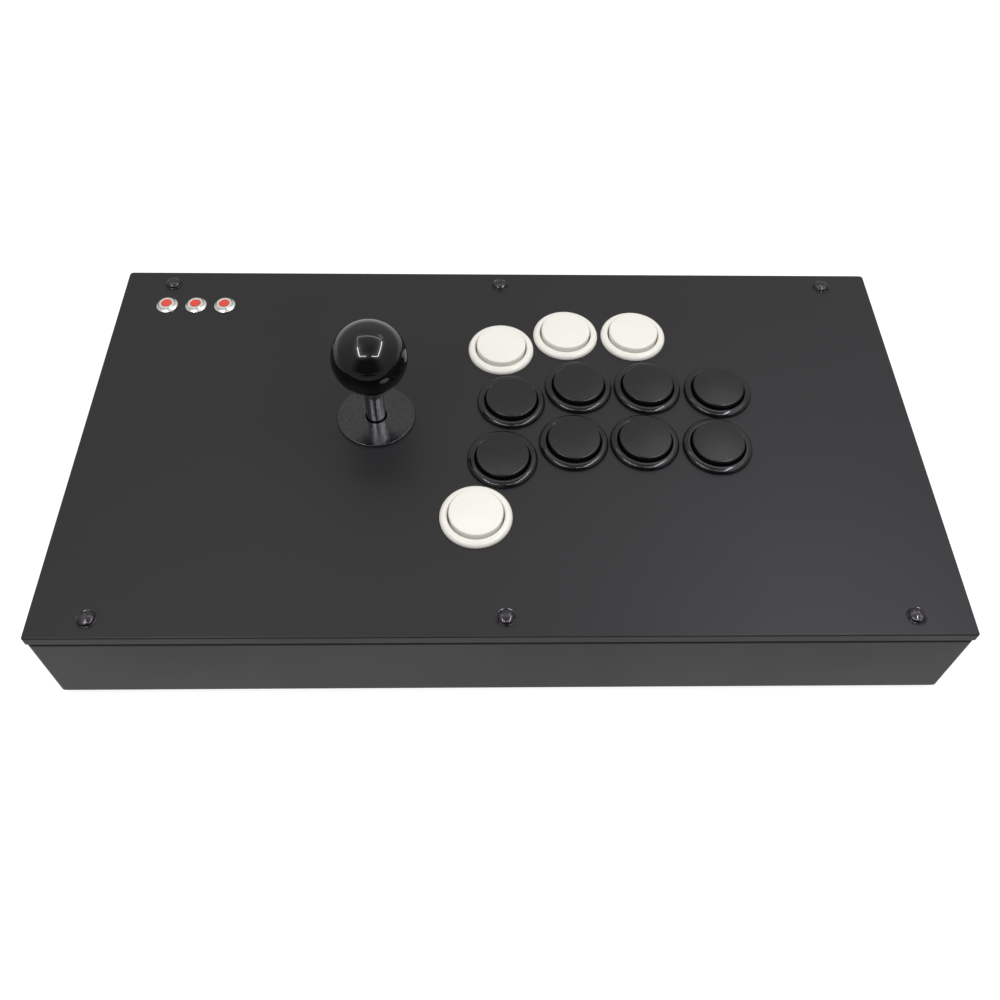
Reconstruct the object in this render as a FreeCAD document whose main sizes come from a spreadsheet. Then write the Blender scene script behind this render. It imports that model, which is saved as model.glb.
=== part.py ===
import FreeCAD, Part
import Sketcher
import math
import os

# Arcade joystick panel: a low sheet-metal box with a ball-top lever, twelve 30 mm
# snap-in push buttons and three small metal menu buttons.
#
# Frame: millimetres, +X to the player's right, +Y away from the player, +Z up.
# The origin is the centre of the footprint, on the plane the rubber feet stand on.

V = FreeCAD.Vector
doc = FreeCAD.newDocument("arcade_joystick_panel")

# ------------------------------------------------------------------ driving dimensions
# In the names, rad is a radius, skin a wall's thickness and flats a hexagon's width.
SIZES = dict(
    # case
    panel_width=401.1, panel_depth=218.6, panel_skin=2.0, panel_corner=1.2,
    lip_height=5.3, lip_bend=0.8, case_height=52.0, foot_height=4.0,
    tray_inset=0.15, tray_skin=2.0, tray_corner=1.4, tray_bend=1.3, lid_gap=0.8,
    rail_leg=14.0, rail_drop=18.0, rail_skin=1.5, rail_long=380.0, rail_short=176.0,
    screw_x=175.5, screw_y=100.2, screw_hole_rad=2.25,
    # fasteners
    m4_rad=2.0, m4_nut_bore=2.05, nut_flats=7.0, nut_high=3.2,
    screw_head_rad=3.5, screw_flange_rad=4.4, screw_flange_thick=0.6, screw_head_high=2.1,
    screw_socket_flats=2.5, screw_socket_deep=1.2, screw_long=10.0, screw_crown=1.0,
    clinch_rad=4.2, clinch_high=4.0, pan_head_rad=3.9, pan_head_high=2.2,
    foot_rad=10.0, foot_rad_low=9.0, foot_pos_x=172.0, foot_pos_y=84.0,
    foot_recess_rad=4.4, foot_recess=2.6,
    # 30 mm snap-in button: housing
    rim_rad=16.65, rim_high=2.5, rim_edge=1.1, rim_crest_out=15.0, rim_crest_in=13.9,
    rim_step=1.3, bore_rad=12.8, barrel_rad=14.8, barrel_deep=28.0, button_hole_rad=15.0,
    floor_top=18.0, floor_low=20.0, guide_rad=3.25, cup_rad=13.0,
    tab_reach=15.8, tab_wide=7.0, tab_high=4.0, tab_drop=2.05,
    # its cap, its switch and the switch's blades
    cap_rad=12.5, cap_high=5.0, cap_fillet=1.0, cap_skirt=13.0, cap_inner=11.0,
    cap_roof=2.6, stem_rad=3.2, stem_low=16.2,
    micro_long=12.8, micro_wide=5.8, micro_high=6.5, micro_pin_rad=1.0, micro_pin_high=0.15,
    blade_wide=2.8, blade_thick=0.5, blade_long=6.5, blade_pitch=3.0,
    # button centres
    black_1_x=4.5, black_1_y=17.6, black_2_x=38.1, black_2_y=27.1,
    black_3_x=72.5, black_3_y=26.7, black_4_x=107.5, black_4_y=24.5,
    black_5_x=-0.3, black_5_y=-17.5, black_6_x=33.9, black_6_y=-7.6,
    black_7_x=68.0, black_7_y=-7.4, black_8_x=102.8, black_8_y=-9.7,
    white_1_x=-0.1, white_1_y=52.5, white_2_x=33.4, white_2_y=62.55,
    white_3_x=68.5, white_3_y=62.05, white_4_x=-12.8, white_4_y=-49.7,
    # menu buttons; menu_x is the leftmost one's
    menu_x=-175.9, menu_pitch=15.08, menu_y=83.8, menu_flange_rad=5.5, menu_flange_edge=0.7,
    menu_cone_rad=4.2, menu_cone_high=1.75, menu_ring_rad=3.85, menu_ring_high=2.05,
    menu_bore=2.68, menu_bore_low=12.0, menu_thread_rad=3.45, menu_hole_rad=3.6, menu_low=16.0,
    menu_nut_flats=10.0, menu_nut_high=2.0, menu_nut_play=0.05,
    plunger_rad=2.62, plunger_high=2.35, plunger_low=10.0, plunger_edge=0.35,
    menu_blade_long=4.0, menu_blade_pitch=1.5,
    # joystick: place, pivot, ball and shaft
    lever_x=-61.2, lever_y=8.6, lever_hole_rad=12.0,
    pivot_drop=15.0, pivot_rad=8.0, socket_rad=8.05, pivot_half=6.0,
    ball_rad=17.5, ball_over=42.6, ball_flat=16.7, ball_bore_play=0.05, ball_bore_gap=0.1,
    shaft_rad=3.4, shaft_low_rad=3.0, shaft_top=39.9, shaft_bottom=26.5,
    clip_low=25.0, clip_thick=0.9, clip_groove_rad=2.4, clip_rad=5.0, clip_slot=4.0,
    clip_play=0.02, cover_rad=4.55, cover_bore=3.45, cover_low=6.0,
    washer_rad=18.75, washer_bore=5.15, washer_thick=1.2, washer_gap=0.05, washer_edge=0.4,
    # joystick: mounting plate, its studs and its countersunk (csk) M3 screws
    plate_long=95.0, plate_wide=53.0, plate_skin=1.6,
    stud_x=20.0, stud_y=40.0, stud_long=10.0, stud_hole_rad=2.5,
    csk_x=24.0, csk_y=22.0, csk_rad=2.9, csk_high=1.5, csk_long=9.5, csk_play=0.1,
    m3_rad=1.5, m3_hole_rad=1.55,
    # joystick: housing, switch board and gate
    body_side=60.0, body_high=26.4, web_top=20.0, web_low=10.0, cavity_side=55.0,
    notch_wide=22.0, notch_high=4.5, board_side=52.0, board_thick=1.6, board_hole_rad=13.0,
    board_up=28.0, tongue_reach=37.0, tongue_wide=18.0, lever_header_long=6.0,
    gate_low=18.0, gate_skin=3.0, gate_high=8.0, gate_open=22.6,
    # joystick: switches, measured outward from the lever's axis, actuator and spring
    switch_in=12.5, switch_deep=10.0, switch_wide=19.8, switch_high=6.4,
    switch_bore_rad=0.95, switch_bore_deep=4.0,
    switch_pin_rad=0.9, switch_pin_tip=10.2, switch_pin_end=15.0,
    actuator_low=24.0, actuator_high=10.5, actuator_rad=7.0, actuator_bore=3.05,
    actuator_seat_rad=8.0, actuator_seat_high=1.0,
    spring_rad=7.0, spring_wire=0.6, spring_turn=2.0, spring_low=29.5, spring_high=5.5,
    # encoder board; the header places are offsets from the board's centre,
    # except menu_header_x, which is from the leftmost menu button
    encoder_x=-148.0, encoder_y=-12.0, encoder_long=70.0, encoder_wide=60.0, encoder_off=6.0,
    encoder_hole_x=31.0, encoder_hole_y=26.0, encoder_hole_rad=1.6,
    post_rad=2.8, post_bore=1.55, encoder_head_rad=2.7, encoder_head_high=1.8,
    header_deep=5.0, header_high=8.0, signal_header_y=-18.5, ground_header_y=-9.5,
    joystick_header_y=7.1, menu_header_x=19.5,
    # USB socket
    usb_x=-132.0, usb_wide=12.0, usb_high=11.0, usb_deep=16.0, usb_low=20.0, usb_play=0.2,
    usb_side_skin=1.7, usb_roof_skin=1.6, usb_mouth_deep=9.0,
    usb_tongue_wide=5.6, usb_tongue_long=8.0, usb_tongue_high=3.2, usb_tongue_back=1.5,
    # button wiring
    wire_rad=0.8, trunk_rad=2.5, ground_rad=1.5, trunk_z=19.0, ground_z=12.0, trunk_y=5.0,
)
BLACK_COUNT = 8
WHITE_COUNT = 4
MENU_COUNT = 3
OVERCUT = 1.0       # how far a cutting tool runs past an open face


class Formula:
    """A number together with the sheet formula it comes from."""

    def __init__(self, value, text):
        self.value = value
        self.text = text

    def __add__(self, other):
        other = formula(other)
        return Formula(self.value + other.value, "(%s + %s)" % (self.text, other.text))

    def __sub__(self, other):
        other = formula(other)
        return Formula(self.value - other.value, "(%s - %s)" % (self.text, other.text))

    def __mul__(self, other):
        other = formula(other)
        return Formula(self.value * other.value, "(%s * %s)" % (self.text, other.text))

    def __rmul__(self, other):
        return formula(other) * self

    def __truediv__(self, other):
        other = formula(other)
        return Formula(self.value / other.value, "(%s / %s)" % (self.text, other.text))

    def __neg__(self):
        return Formula(-self.value, "(0 - %s)" % self.text)


def formula(number):
    if isinstance(number, Formula):
        return number
    return Formula(float(number), repr(float(number)))


class Dimensions:
    """Holds each driving dimension as an attribute named by its alias."""


dim = Dimensions()
sheet = doc.addObject("Spreadsheet::Sheet", "Dims")
for row, (alias, value) in enumerate(SIZES.items(), 1):
    sheet.set("A%d" % row, alias.replace("_", " "))
    sheet.set("B%d" % row, repr(value))
    sheet.setAlias("B%d" % row, alias)
    setattr(dim, alias, Formula(value, "Dims." + alias))
doc.recompute()

# ------------------------------------------------------------------ document helpers
NODES = []          # the objects that are written out, in order


def bind(obj, prop, value):
    obj.setExpression(prop, formula(value).text)


def put(obj, x=0, y=0, z=0, turn=0.0):
    """Give an object its place: a turn about Z, then an offset bound to the sheet."""
    base = V(*[formula(value).value for value in (x, y, z)])
    obj.Placement = FreeCAD.Placement(base, FreeCAD.Rotation(V(0, 0, 1), turn))
    for axis, value in (("x", x), ("y", y), ("z", z)):
        bind(obj, "Placement.Base." + axis, value)
    return obj


def node(obj, x=0, y=0, z=0):
    """Place an object and list it for writing under its label."""
    NODES.append(put(obj, x, y, z))


def compound(name, items):
    result = doc.addObject("Part::Compound", name)
    result.Links = items
    doc.recompute()
    return result


def copies(label, pattern, spots):
    """One node made of copies of a pattern piece, each at its own spot (x, y, z[, turn]).

    pattern is one piece, or a list with one piece per spot. A copy's place replaces
    the pattern's own placement.
    """
    patterns = pattern if isinstance(pattern, list) else [pattern] * len(spots)
    links = []
    for i, spot in enumerate(spots):
        link = doc.addObject("App::Link", "%s_%d" % (label, i + 1))
        link.LinkedObject = patterns[i]
        links.append(put(link, *spot))
    node(compound(label, links))


# ------------------------------------------------------------------ places
def at_height(spots, z):
    return [(x, y, z) for x, y in spots]


def corners(half_x, half_y, centre_x=0, centre_y=0):
    return [(formula(centre_x) + side_x * half_x, formula(centre_y) + side_y * half_y)
            for side_x in (-1, 1) for side_y in (-1, 1)]


def button_spots(colour, count):
    return [tuple(getattr(dim, "%s_%d_%s" % (colour, i, axis)) for axis in "xy")
            for i in range(1, count + 1)]


# ------------------------------------------------------------------ body helpers
def new_body(name):
    return doc.addObject("PartDesign::Body", name)


def sketch_on(body, role="XY_Plane", lift=0):
    """A sketch on one of the body's origin planes, lifted along the plane's normal."""
    sketch = body.newObject("Sketcher::SketchObject", body.Name + "_sketch")
    plane = [feature for feature in body.Origin.OriginFeatures if feature.Role == role][0]
    sketch.AttachmentSupport = [(plane, "")]
    sketch.MapMode = "FlatFace"
    offset = V(0, 0, formula(lift).value)
    sketch.AttachmentOffset = FreeCAD.Placement(offset, FreeCAD.Rotation())
    bind(sketch, "AttachmentOffset.Base.z", lift)
    return sketch


def pin_point(sketch, geo, pos, x, y):
    """Fix a sketch point at x, y, each bound to its formula."""
    for kind, value, axis in (("DistanceX", x, -2), ("DistanceY", y, -1)):
        if abs(value.value) < 1e-9:
            sketch.addConstraint(Sketcher.Constraint("PointOnObject", geo, pos, axis))
        else:
            i = sketch.addConstraint(Sketcher.Constraint(kind, -1, 1, geo, pos, value.value))
            bind(sketch, "Constraints[%d]" % i, value)


def polygon(sketch, points):
    points = [(formula(x), formula(y)) for x, y in points]
    count = len(points)
    base = sketch.GeometryCount
    for i, (x, y) in enumerate(points):
        end_x, end_y = points[(i + 1) % count]
        line = Part.LineSegment(V(x.value, y.value, 0), V(end_x.value, end_y.value, 0))
        sketch.addGeometry(line, False)
    for i in range(count):
        following = base + (i + 1) % count
        sketch.addConstraint(Sketcher.Constraint("Coincident", base + i, 2, following, 1))
    for i, (x, y) in enumerate(points):
        pin_point(sketch, base + i, 1, x, y)


def rectangle(sketch, wide, deep, centre_x=0, centre_y=0):
    x, y = formula(centre_x), formula(centre_y)
    polygon(sketch, [(x - wide / 2, y - deep / 2), (x + wide / 2, y - deep / 2),
                     (x + wide / 2, y + deep / 2), (x - wide / 2, y + deep / 2)])


def circle(sketch, rad, x=0, y=0):
    x, y = formula(x), formula(y)
    geo = sketch.addGeometry(Part.Circle(V(x.value, y.value, 0), V(0, 0, 1), rad.value), False)
    pin_point(sketch, geo, 3, x, y)
    i = sketch.addConstraint(Sketcher.Constraint("Radius", geo, rad.value))
    bind(sketch, "Constraints[%d]" % i, rad)


def hexagon(sketch, flats):
    half = flats / 2
    corner = 1 / math.cos(math.radians(30))
    angles = [math.radians(60 * i) for i in range(6)]
    polygon(sketch, [(half * (corner * math.cos(angle)), half * (corner * math.sin(angle)))
                     for angle in angles])


def pad(body, sketch, length, reverse=False, midplane=False):
    feature = body.newObject("PartDesign::Pad", body.Name + "_pad")
    feature.Profile = sketch
    bind(feature, "Length", length)
    feature.Reversed = reverse
    feature.Midplane = midplane
    doc.recompute()


def pocket(body, sketch, deep, upward=False, midplane=False):
    before = body.Shape.Volume
    feature = body.newObject("PartDesign::Pocket", body.Name + "_pocket")
    feature.Profile = sketch
    bind(feature, "Length", deep)
    feature.Reversed = upward
    feature.Midplane = midplane
    doc.recompute()
    if not body.Shape.Volume < before - 1e-3:
        raise RuntimeError("%s: a pocket cut nothing" % body.Name)


def round_edges(body, pick, rad):
    """Fillet the edges of the body's last feature that pick accepts."""
    base = body.Tip
    names = ["Edge%d" % i for i, edge in enumerate(base.Shape.Edges, 1) if pick(edge)]
    if not names:
        raise RuntimeError("%s: no edge to round" % body.Name)
    feature = body.newObject("PartDesign::Fillet", body.Name + "_fillet")
    feature.Base = (base, names)
    bind(feature, "Radius", rad)
    doc.recompute()


def on_circle(rad, z):
    """Picks the circular edges of one radius at one height."""
    def pick(edge):
        return (isinstance(edge.Curve, Part.Circle)
                and abs(edge.Curve.Radius - rad.value) < 1e-4
                and abs(edge.Curve.Center.z - z.value) < 1e-4)
    return pick


def turned(name, points):
    """A body turned about Z from an outline of (radius, z) points."""
    body = new_body(name)
    sketch = sketch_on(body, "XZ_Plane")
    polygon(sketch, points)
    feature = body.newObject("PartDesign::Revolution", body.Name + "_turn")
    feature.Profile = sketch
    feature.ReferenceAxis = (sketch, ["V_Axis"])
    feature.Angle = 360.0
    doc.recompute()
    return body


def tube(name, rad, bore, high):
    body = new_body(name)
    sketch = sketch_on(body)
    circle(sketch, rad)
    circle(sketch, bore)
    pad(body, sketch, high)
    return body


def hex_nut(name, flats, bore, high):
    body = new_body(name)
    sketch = sketch_on(body)
    hexagon(sketch, flats)
    circle(sketch, bore)
    pad(body, sketch, high)
    return body


def rounded_block(name, wide, deep, high, corner, bend, bend_z):
    """A block on z = 0 with rounded uprights, then rounded edges at bend_z."""
    body = new_body(name)
    sketch = sketch_on(body)
    rectangle(sketch, wide, deep)
    pad(body, sketch, high)
    round_edges(body, lambda edge: abs(edge.BoundBox.ZLength - high.value) < 1e-4, corner)
    bend_level = formula(bend_z).value
    round_edges(body, lambda edge: edge.BoundBox.ZLength < 1e-4
                and abs(edge.BoundBox.ZMax - bend_level) < 1e-4, bend)
    return body


def drill(body, holes, deep):
    """Cut holes (rad, x, y) through the sheet that lies near the body's z = 0."""
    sketch = sketch_on(body)
    for rad, x, y in holes:
        circle(sketch, rad, x, y)
    pocket(body, sketch, deep, midplane=True)


# ------------------------------------------------------------------ primitive helpers
def box(name, long, wide, high, x=0, y=0, z=0):
    """A box centred on x and y, standing on z."""
    result = doc.addObject("Part::Box", name)
    for prop, value in (("Length", long), ("Width", wide), ("Height", high)):
        bind(result, prop, value)
    return put(result, formula(x) - formula(long) / 2, formula(y) - formula(wide) / 2, z)


def cylinder(name, rad, high, x=0, y=0, z=0):
    result = doc.addObject("Part::Cylinder", name)
    bind(result, "Radius", rad)
    bind(result, "Height", high)
    return put(result, x, y, z)


def cylinder_along_x(name, rad, long, x):
    result = cylinder(name, rad, long, x)
    result.Placement = FreeCAD.Placement(V(x.value, 0, 0), FreeCAD.Rotation(V(0, 1, 0), 90))
    return result


def sphere(name, rad, z=0):
    result = doc.addObject("Part::Sphere", name)
    bind(result, "Radius", rad)
    return put(result, z=z)


def fuse(name, items):
    result = doc.addObject("Part::MultiFuse", name)
    result.Shapes = items
    doc.recompute()
    return result


def cut(name, base, tools):
    result = doc.addObject("Part::Cut", name)
    result.Base = base
    result.Tool = tools[0] if len(tools) == 1 else fuse(name + "_tools", tools)
    doc.recompute()
    return result


# ------------------------------------------------------------------ levels and spots
top_z = dim.foot_height + dim.case_height           # upper face of the top panel
under_z = top_z - dim.panel_skin                    # lower face of its skin
lip_z = top_z - dim.lip_height                      # lower edge of the turned-down lip
wall_z = lip_z - dim.lid_gap                        # upper edge of the tray's walls
floor_z = dim.foot_height + dim.tray_skin           # upper face of the tray's floor
pivot_z = top_z - dim.pivot_drop                    # the lever's pivot
plate_z = under_z - dim.plate_skin                  # lower face of the mounting plate
body_z = plate_z - dim.body_high                    # lower rim of the joystick housing
switch_z = dim.board_up - dim.switch_high / 2       # middle of the joystick's switches
board_z = floor_z + dim.encoder_off                 # lower face of the encoder board
parts_z = board_z + dim.board_thick                 # its upper face
blade_z = top_z - dim.floor_low - dim.micro_high - dim.blade_long   # tips of the blades
menu_blade_z = top_z - dim.menu_low - dim.menu_blade_long

tray_out_x = dim.panel_width / 2 - dim.tray_inset
tray_out_y = dim.panel_depth / 2 - dim.tray_inset
tray_in_x = tray_out_x - dim.tray_skin
tray_in_y = tray_out_y - dim.tray_skin
board_right_x = dim.encoder_x + dim.encoder_long / 2
board_back_y = dim.encoder_y + dim.encoder_wide / 2
ball_up = dim.pivot_drop + dim.ball_over            # the ball's centre above the pivot
shaft_up = dim.shaft_top + dim.pivot_drop           # the shaft's top above the pivot

lever = (dim.lever_x, dim.lever_y)
black_spots = button_spots("black", BLACK_COUNT)
white_spots = button_spots("white", WHITE_COUNT)
all_spots = black_spots + white_spots
menu_spots = [(dim.menu_x + dim.menu_pitch * i, dim.menu_y) for i in range(MENU_COUNT)]
screw_spots = [(side_x * dim.screw_x, side_y * dim.screw_y)
               for side_y in (-1, 1) for side_x in (-1, 0, 1)]
foot_spots = corners(dim.foot_pos_x, dim.foot_pos_y)
stud_spots = corners(dim.stud_x, dim.stud_y, *lever)
encoder_holes = corners(dim.encoder_hole_x, dim.encoder_hole_y, dim.encoder_x, dim.encoder_y)


# ------------------------------------------------------------------ case
def top_panel():
    body = rounded_block("top_panel", dim.panel_width, dim.panel_depth, dim.lip_height,
                         dim.panel_corner, dim.lip_bend, dim.lip_height)
    sketch = sketch_on(body)
    rectangle(sketch, dim.panel_width - dim.panel_skin * 2, dim.panel_depth - dim.panel_skin * 2)
    pocket(body, sketch, dim.lip_height - dim.panel_skin, upward=True)
    holes = [(dim.button_hole_rad, x, y) for x, y in all_spots]
    holes.append((dim.lever_hole_rad, *lever))
    holes += [(dim.screw_hole_rad, x, y) for x, y in screw_spots]
    holes += [(dim.menu_hole_rad, x, y) for x, y in menu_spots]
    drill(body, holes, dim.lip_height * 4)
    node(body, z=lip_z)


def panel_weld_studs():
    """Studs under the panel that carry the lever unit."""
    stud = cylinder("stud_shape", dim.m4_rad, dim.stud_long)
    copies("panel_weld_studs", stud, at_height(stud_spots, under_z - dim.stud_long))


def base_tray():
    body = rounded_block("tray_shell", tray_out_x * 2, tray_out_y * 2, wall_z - dim.foot_height,
                         dim.tray_corner, dim.tray_bend, 0)
    sketch = sketch_on(body, lift=dim.tray_skin)
    rectangle(sketch, tray_in_x * 2, tray_in_y * 2)
    pocket(body, sketch, dim.case_height, upward=True)
    holes = [(dim.screw_hole_rad, x, y) for x, y in foot_spots]
    holes += [(dim.encoder_hole_rad, x, y) for x, y in encoder_holes]
    drill(body, holes, dim.tray_skin * 8)
    put(body, z=dim.foot_height)
    window = box("usb_window", dim.usb_wide + dim.usb_play * 2, dim.tray_skin * 4,
                 dim.usb_high + dim.usb_play * 2, dim.usb_x, tray_out_y,
                 dim.usb_low - dim.usb_play)
    node(cut("base_tray", body, [window]))


def rail(name, long):
    """An angle along X: a flat leg towards -Y and a leg that drops, both from y = z = 0."""
    body = new_body(name)
    sketch = sketch_on(body, "YZ_Plane")
    leg, drop, skin = dim.rail_leg, dim.rail_drop, dim.rail_skin
    polygon(sketch, [(0, 0), (-leg, 0), (-leg, -skin), (-skin, -skin), (-skin, -drop), (0, -drop)])
    pad(body, sketch, long, midplane=True)
    return body


def panel_rails():
    """Rails under the panel along the tray's four walls."""
    long_rail = rail("long_rail_shape", dim.rail_long)
    drill(long_rail, [(dim.screw_hole_rad, side * dim.screw_x, dim.screw_y - tray_in_y)
                      for side in (-1, 0, 1)], dim.rail_skin * 4)
    short_rail = rail("short_rail_shape", dim.rail_short)
    copies("panel_rails", [long_rail, long_rail, short_rail, short_rail],
           [(0, tray_in_y, under_z, 0.0), (0, -tray_in_y, under_z, 180.0),
            (tray_in_x, 0, under_z, -90.0), (-tray_in_x, 0, under_z, 90.0)])


def panel_screws():
    body = turned("screw_shape", [
        (0, dim.screw_head_high), (dim.screw_head_rad, dim.screw_head_high),
        (dim.screw_head_rad, dim.screw_flange_thick),
        (dim.screw_flange_rad, dim.screw_flange_thick), (dim.screw_flange_rad, 0),
        (dim.m4_rad, 0), (dim.m4_rad, -dim.screw_long), (0, -dim.screw_long)])
    round_edges(body, on_circle(dim.screw_head_rad, dim.screw_head_high), dim.screw_crown)
    sketch = sketch_on(body, lift=dim.screw_head_high)
    hexagon(sketch, dim.screw_socket_flats)
    pocket(body, sketch, dim.screw_socket_deep)
    copies("panel_screws", body, at_height(screw_spots, top_z))


def panel_clinch_nuts():
    body = tube("clinch_shape", dim.clinch_rad, dim.m4_nut_bore, dim.clinch_high)
    copies("panel_clinch_nuts", body,
           at_height(screw_spots, under_z - dim.rail_skin - dim.clinch_high))


def rubber_feet():
    body = turned("foot_shape", [
        (dim.foot_recess_rad, 0), (dim.foot_rad_low, 0), (dim.foot_rad, dim.foot_height),
        (dim.screw_hole_rad, dim.foot_height), (dim.screw_hole_rad, dim.foot_recess),
        (dim.foot_recess_rad, dim.foot_recess)])
    copies("rubber_feet", body, at_height(foot_spots, 0))


def foot_screws():
    body = turned("foot_screw_shape", [
        (0, -dim.pan_head_high), (dim.pan_head_rad, -dim.pan_head_high), (dim.pan_head_rad, 0),
        (dim.m4_rad, 0), (dim.m4_rad, dim.screw_long), (0, dim.screw_long)])
    copies("foot_screws", body, at_height(foot_spots, dim.foot_recess))


def hex_nuts():
    """The same nut holds the feet on and clamps the lever unit to its studs."""
    nut = hex_nut("nut_shape", dim.nut_flats, dim.m4_nut_bore, dim.nut_high)
    copies("hex_nuts", nut, at_height(foot_spots, floor_z)
           + at_height(stud_spots, plate_z - dim.nut_high))


# ------------------------------------------------------------------ 30 mm snap-in buttons
# The button pieces are drawn with z = 0 on the panel's upper face.
def cut_round(body, rad, z, deep, upward=False):
    sketch = sketch_on(body, lift=z)
    circle(sketch, rad)
    pocket(body, sketch, deep, upward)


def button_housings():
    """A ring on the panel, a barrel with two snap tabs, a guided floor for the stem
    and a cup below that holds the switch."""
    body = turned("housing_shape", [
        (0, -dim.barrel_deep), (dim.barrel_rad, -dim.barrel_deep), (dim.barrel_rad, 0),
        (dim.rim_rad, 0), (dim.rim_rad, dim.rim_edge), (dim.rim_crest_out, dim.rim_high),
        (dim.rim_crest_in, dim.rim_high), (dim.bore_rad, dim.rim_step), (0, dim.rim_step)])
    sketch = sketch_on(body, lift=-dim.tab_drop)
    rectangle(sketch, dim.tab_reach * 2, dim.tab_wide)
    pad(body, sketch, dim.tab_high, reverse=True)
    cut_round(body, dim.bore_rad, -dim.floor_top, dim.barrel_deep * 2, upward=True)
    cut_round(body, dim.cup_rad, -dim.floor_low, dim.barrel_deep)
    cut_round(body, dim.guide_rad, -dim.floor_top, dim.barrel_deep)
    copies("black_button_housings", body, at_height(black_spots, top_z))
    copies("white_button_housings", body, at_height(white_spots, top_z))


def button_switches():
    """A switch under each button, drawn with its pin pressed in."""
    switch = fuse("micro_shape", [
        box("micro_body", dim.micro_long, dim.micro_wide, dim.micro_high,
            z=-dim.floor_low - dim.micro_high),
        cylinder("micro_pin", dim.micro_pin_rad, dim.micro_pin_high, z=-dim.floor_low)])
    copies("button_switches", switch, at_height(all_spots, top_z))


def switch_terminals():
    """Two blades under every switch and menu button; a spot is a blade's low-x, low-y corner."""
    blade = box("blade_shape", dim.blade_thick, dim.blade_wide, dim.blade_long)
    menu_blade = box("menu_blade_shape", dim.blade_thick, dim.blade_wide / 2, dim.menu_blade_long)
    spots = [(x + side * dim.blade_pitch, y, blade_z) for x, y in all_spots for side in (-1, 1)]
    menu = [(x + side * dim.menu_blade_pitch, y, menu_blade_z)
            for x, y in menu_spots for side in (-1, 1)]
    copies("switch_terminals", [blade] * len(spots) + [menu_blade] * len(menu), spots + menu)


def button_caps():
    """A hollow cap with a stem down its middle."""
    body = turned("cap_shape", [
        (0, dim.cap_high), (dim.cap_rad, dim.cap_high), (dim.cap_rad, -dim.cap_skirt),
        (dim.cap_inner, -dim.cap_skirt), (dim.cap_inner, dim.cap_roof),
        (dim.stem_rad, dim.cap_roof), (dim.stem_rad, -dim.stem_low), (0, -dim.stem_low)])
    round_edges(body, on_circle(dim.cap_rad, dim.cap_high), dim.cap_fillet)
    for colour, spots in (("black", black_spots), ("white", white_spots)):
        for i, spot in enumerate(spots, 1):
            copies("%s_button_cap_%d" % (colour, i), body, at_height([spot], top_z))


# ------------------------------------------------------------------ menu buttons
def menu_button_barrels():
    body = turned("menu_shape", [
        (dim.menu_bore, dim.menu_ring_high), (dim.menu_ring_rad, dim.menu_ring_high),
        (dim.menu_cone_rad, dim.menu_cone_high), (dim.menu_flange_rad, dim.menu_flange_edge),
        (dim.menu_flange_rad, 0), (dim.menu_thread_rad, 0), (dim.menu_thread_rad, -dim.menu_low),
        (0, -dim.menu_low), (0, -dim.menu_bore_low), (dim.menu_bore, -dim.menu_bore_low)])
    copies("menu_button_barrels", body, at_height(menu_spots, top_z))


def menu_button_nuts():
    nut = hex_nut("menu_nut_shape", dim.menu_nut_flats, dim.menu_thread_rad + dim.menu_nut_play,
                  dim.menu_nut_high)
    copies("menu_button_nuts", nut, at_height(menu_spots, under_z - dim.menu_nut_high))


def menu_button_plungers():
    body = turned("plunger_shape", [
        (0, dim.plunger_high), (dim.plunger_rad, dim.plunger_high),
        (dim.plunger_rad, -dim.plunger_low), (0, -dim.plunger_low)])
    round_edges(body, on_circle(dim.plunger_rad, dim.plunger_high), dim.plunger_edge)
    for i, spot in enumerate(menu_spots, 1):
        copies("menu_button_plunger_%d" % i, body, at_height([spot], top_z))


# ------------------------------------------------------------------ lever unit, fixed pieces
def joystick_mounting_plate():
    blank = box("plate_blank", dim.plate_wide, dim.plate_long, dim.plate_skin)
    low, through = -dim.plate_skin, dim.plate_skin * 3
    tools = [cylinder("plate_bore", dim.lever_hole_rad, through, z=low)]
    studs = corners(dim.stud_x, dim.stud_y)
    screws = corners(dim.csk_x, dim.csk_y)
    for i, (stud, screw) in enumerate(zip(studs, screws)):
        tools.append(cylinder("plate_stud_hole_%d" % i, dim.stud_hole_rad, through, *stud, low))
        sink = doc.addObject("Part::Cone", "plate_csk_%d" % i)
        bind(sink, "Radius1", dim.m3_rad + dim.csk_play)
        bind(sink, "Radius2", dim.csk_rad + dim.csk_play)
        bind(sink, "Height", dim.csk_high)
        tools.append(put(sink, *screw, dim.plate_skin - dim.csk_high))
        tools.append(cylinder("plate_screw_hole_%d" % i, dim.m3_rad + dim.csk_play, through,
                              *screw, low))
    node(cut("joystick_mounting_plate", blank, tools), *lever, plate_z)


def joystick_housing_screws():
    body = turned("csk_shape", [
        (0, 0), (dim.csk_rad, 0), (dim.m3_rad, -dim.csk_high), (dim.m3_rad, -dim.csk_long),
        (0, -dim.csk_long)])
    copies("joystick_housing_screws", body,
           at_height(corners(dim.csk_x, dim.csk_y, *lever), under_z))


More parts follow.
